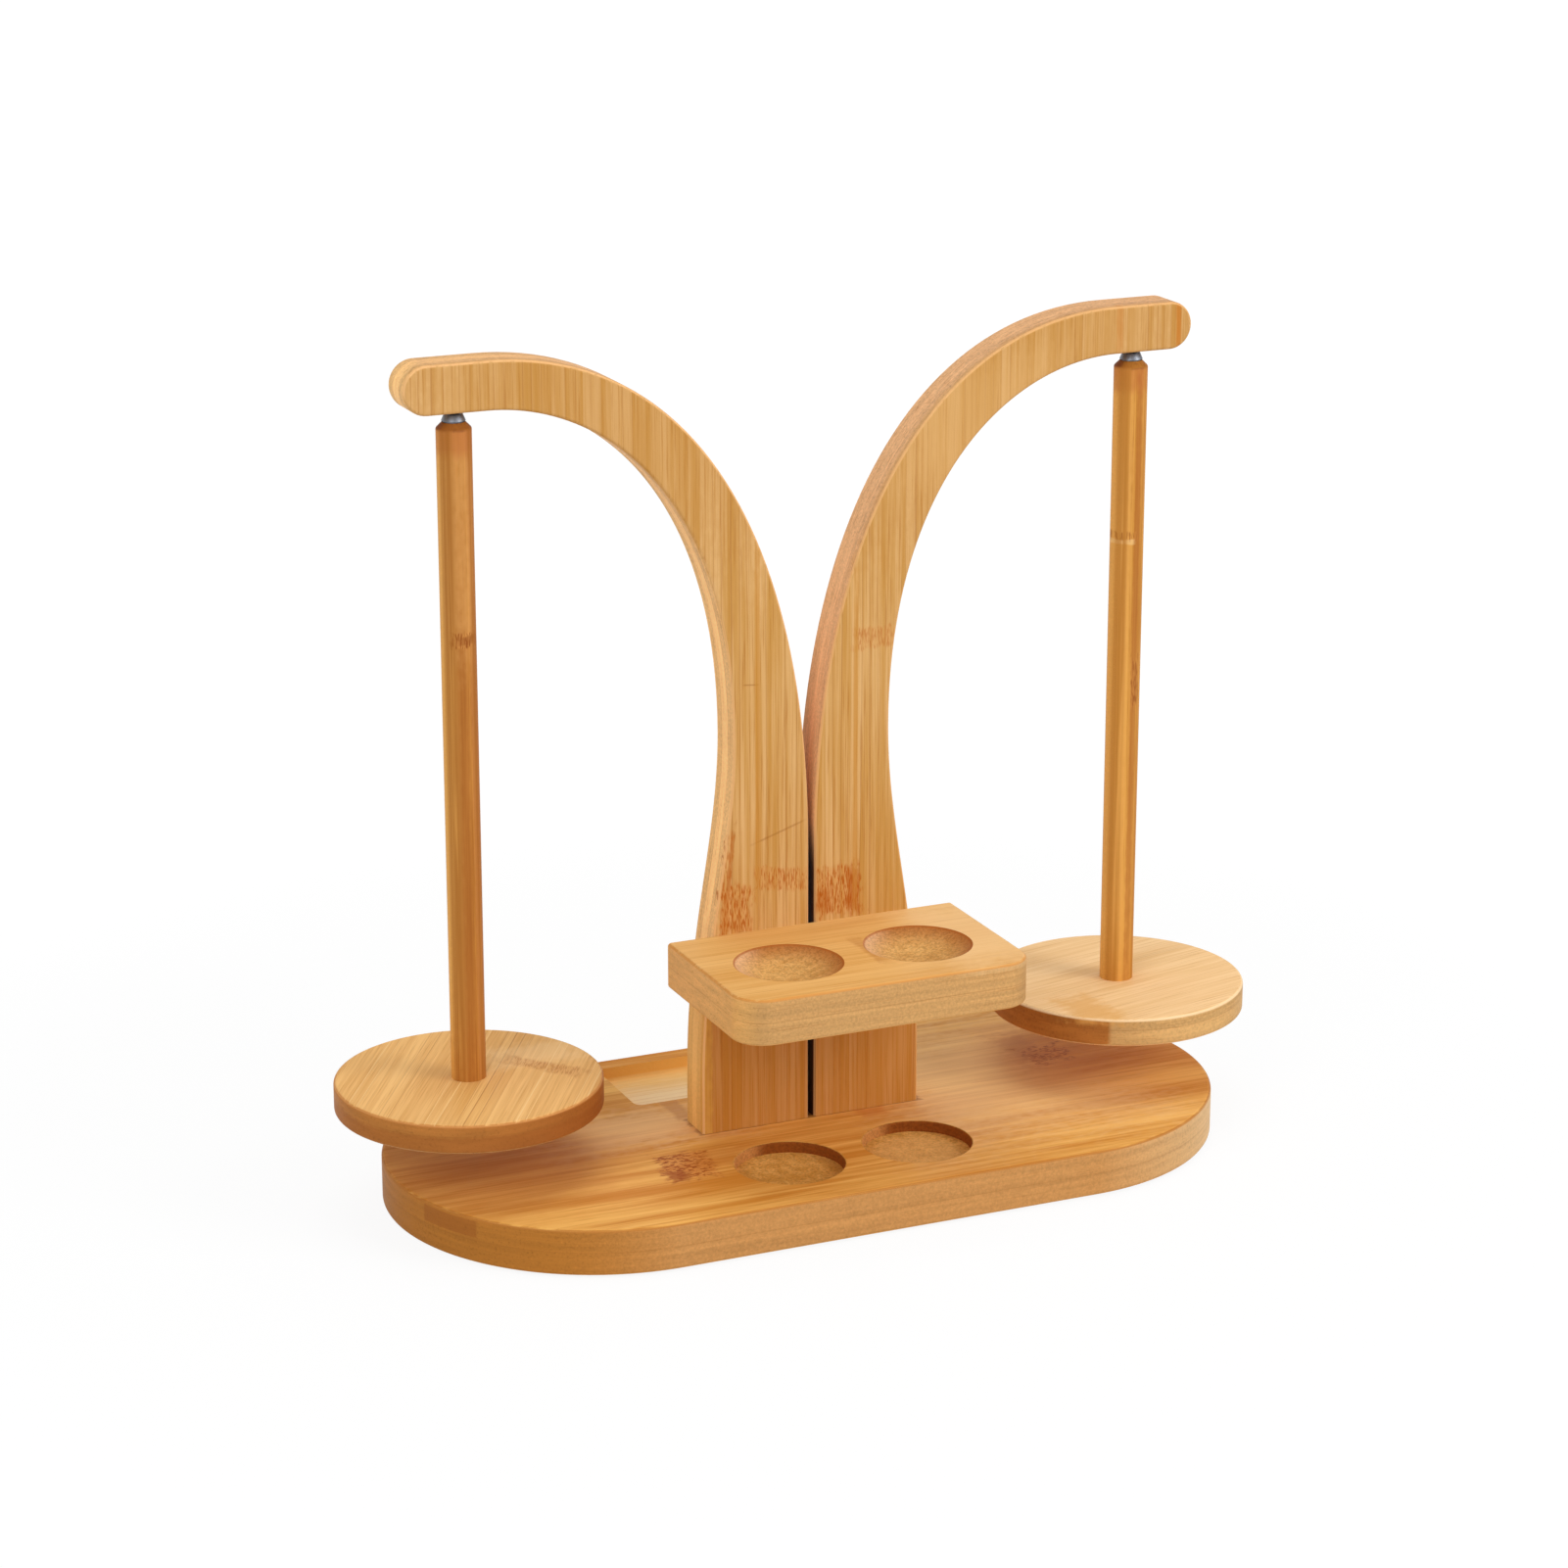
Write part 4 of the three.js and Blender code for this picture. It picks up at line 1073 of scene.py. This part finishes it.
def make_floor():
    """A white floor that shows the object's shadow faintly and can't be seen from below."""
    form = bmesh.new()
    bmesh.ops.create_grid(form, x_segments=1, y_segments=1, size=8)
    mesh = bpy.data.meshes.new("floor")
    form.to_mesh(mesh)
    form.free()
    floor = bpy.data.objects.new("floor", mesh)
    bpy.context.scene.collection.objects.link(floor)
    paper = Finish("white floor", 0.9)
    tree = paper.tree
    paper.surface.inputs["Base Color"].default_value = (0.75, 0.75, 0.75, 1)
    ray = tree.nodes.new("ShaderNodeLightPath")
    seen = paper.math("MAXIMUM", ray.outputs["Is Camera Ray"], ray.outputs["Is Glossy Ray"])
    seen = paper.math("MAXIMUM", seen, ray.outputs["Is Transmission Ray"])
    away = paper.node("ShaderNodeVectorMath", {0: paper.millimetres()}, "Value", operation="LENGTH")
    # The shadow is faint, and between these distances in millimetres it fades out
    near, far = 250.0, 600.0
    faint = 0.12
    plain = paper.scaled(paper.step(away, near, far), faint, 1 - faint)
    white = paper.node("ShaderNodeEmission", {"Color": (1, 1, 1, 1), "Strength": 1.03})
    share = paper.math("MULTIPLY", seen, plain)
    lit = paper.node("ShaderNodeMixShader", {0: share, 1: paper.surface.outputs[0], 2: white})
    clear = paper.node("ShaderNodeBsdfTransparent", {})
    back = paper.node("ShaderNodeNewGeometry", {}, "Backfacing")
    shown = paper.node("ShaderNodeMixShader", {0: back, 1: lit, 2: clear})
    paper.feed(tree.nodes["Material Output"].inputs["Surface"], shown)
    mesh.materials.append(paper.material)


def make_world(strength):
    """Even white surroundings, pure white where the camera or a reflection sees them."""
    world = bpy.data.worlds.new("studio")
    bpy.context.scene.world = world
    world.use_nodes = True
    tree = world.node_tree
    ray = tree.nodes.new("ShaderNodeLightPath")
    seen = ray.outputs["Is Camera Ray"]
    for kind in ("Is Glossy Ray", "Is Transmission Ray"):
        either = tree.nodes.new("ShaderNodeMath")
        either.operation = "MAXIMUM"
        tree.links.new(seen, either.inputs[0])
        tree.links.new(ray.outputs[kind], either.inputs[1])
        seen = either.outputs[0]
    level = tree.nodes.new("ShaderNodeMapRange")
    tree.links.new(seen, level.inputs[0])
    level.inputs[3].default_value = strength
    level.inputs[4].default_value = 1.0
    tree.links.new(level.outputs[0], tree.nodes["Background"].inputs["Strength"])
    tree.nodes["Background"].inputs["Color"].default_value = (1, 1, 1, 1)


def make_lamp(name, place, width, power, aim=(0, 0, 0.12)):
    lamp = bpy.data.lights.new(name, "AREA")
    lamp.shape = "DISK"
    lamp.size = width
    lamp.energy = power
    thing = bpy.data.objects.new(name, lamp)
    thing.location = place
    thing.rotation_euler = (Vector(aim) - Vector(place)).to_track_quat("-Z", "Y").to_euler()
    bpy.context.scene.collection.objects.link(thing)


def make_camera():
    """The photograph's camera, found by fitting the object's outline."""
    azimuth = radians(-23.828)
    elevation = radians(17.177)
    camera = bpy.data.cameras.new("camera")
    camera.lens = 97.07
    camera.sensor_width = 36
    thing = bpy.data.objects.new("camera", camera)
    thing.location = (-0.5585, -1.2471, 0.558)
    look = Vector((-sin(azimuth) * cos(elevation), cos(azimuth) * cos(elevation), -sin(elevation)))
    thing.rotation_euler = look.to_track_quat("-Z", "Y").to_euler()
    bpy.context.scene.collection.objects.link(thing)
    bpy.context.scene.camera = thing


make_floor()
make_world(strength=0.45)
make_lamp("right", (1.6, -1.6, 1.3), width=1.6, power=31)
make_lamp("left", (-1.6, -1.3, 1.2), width=1.6, power=18.5)
make_lamp("top", (0.1, 0.2, 3.0), width=2.0, power=22)
make_camera()
bpy.context.scene.view_settings.view_transform = "Standard"
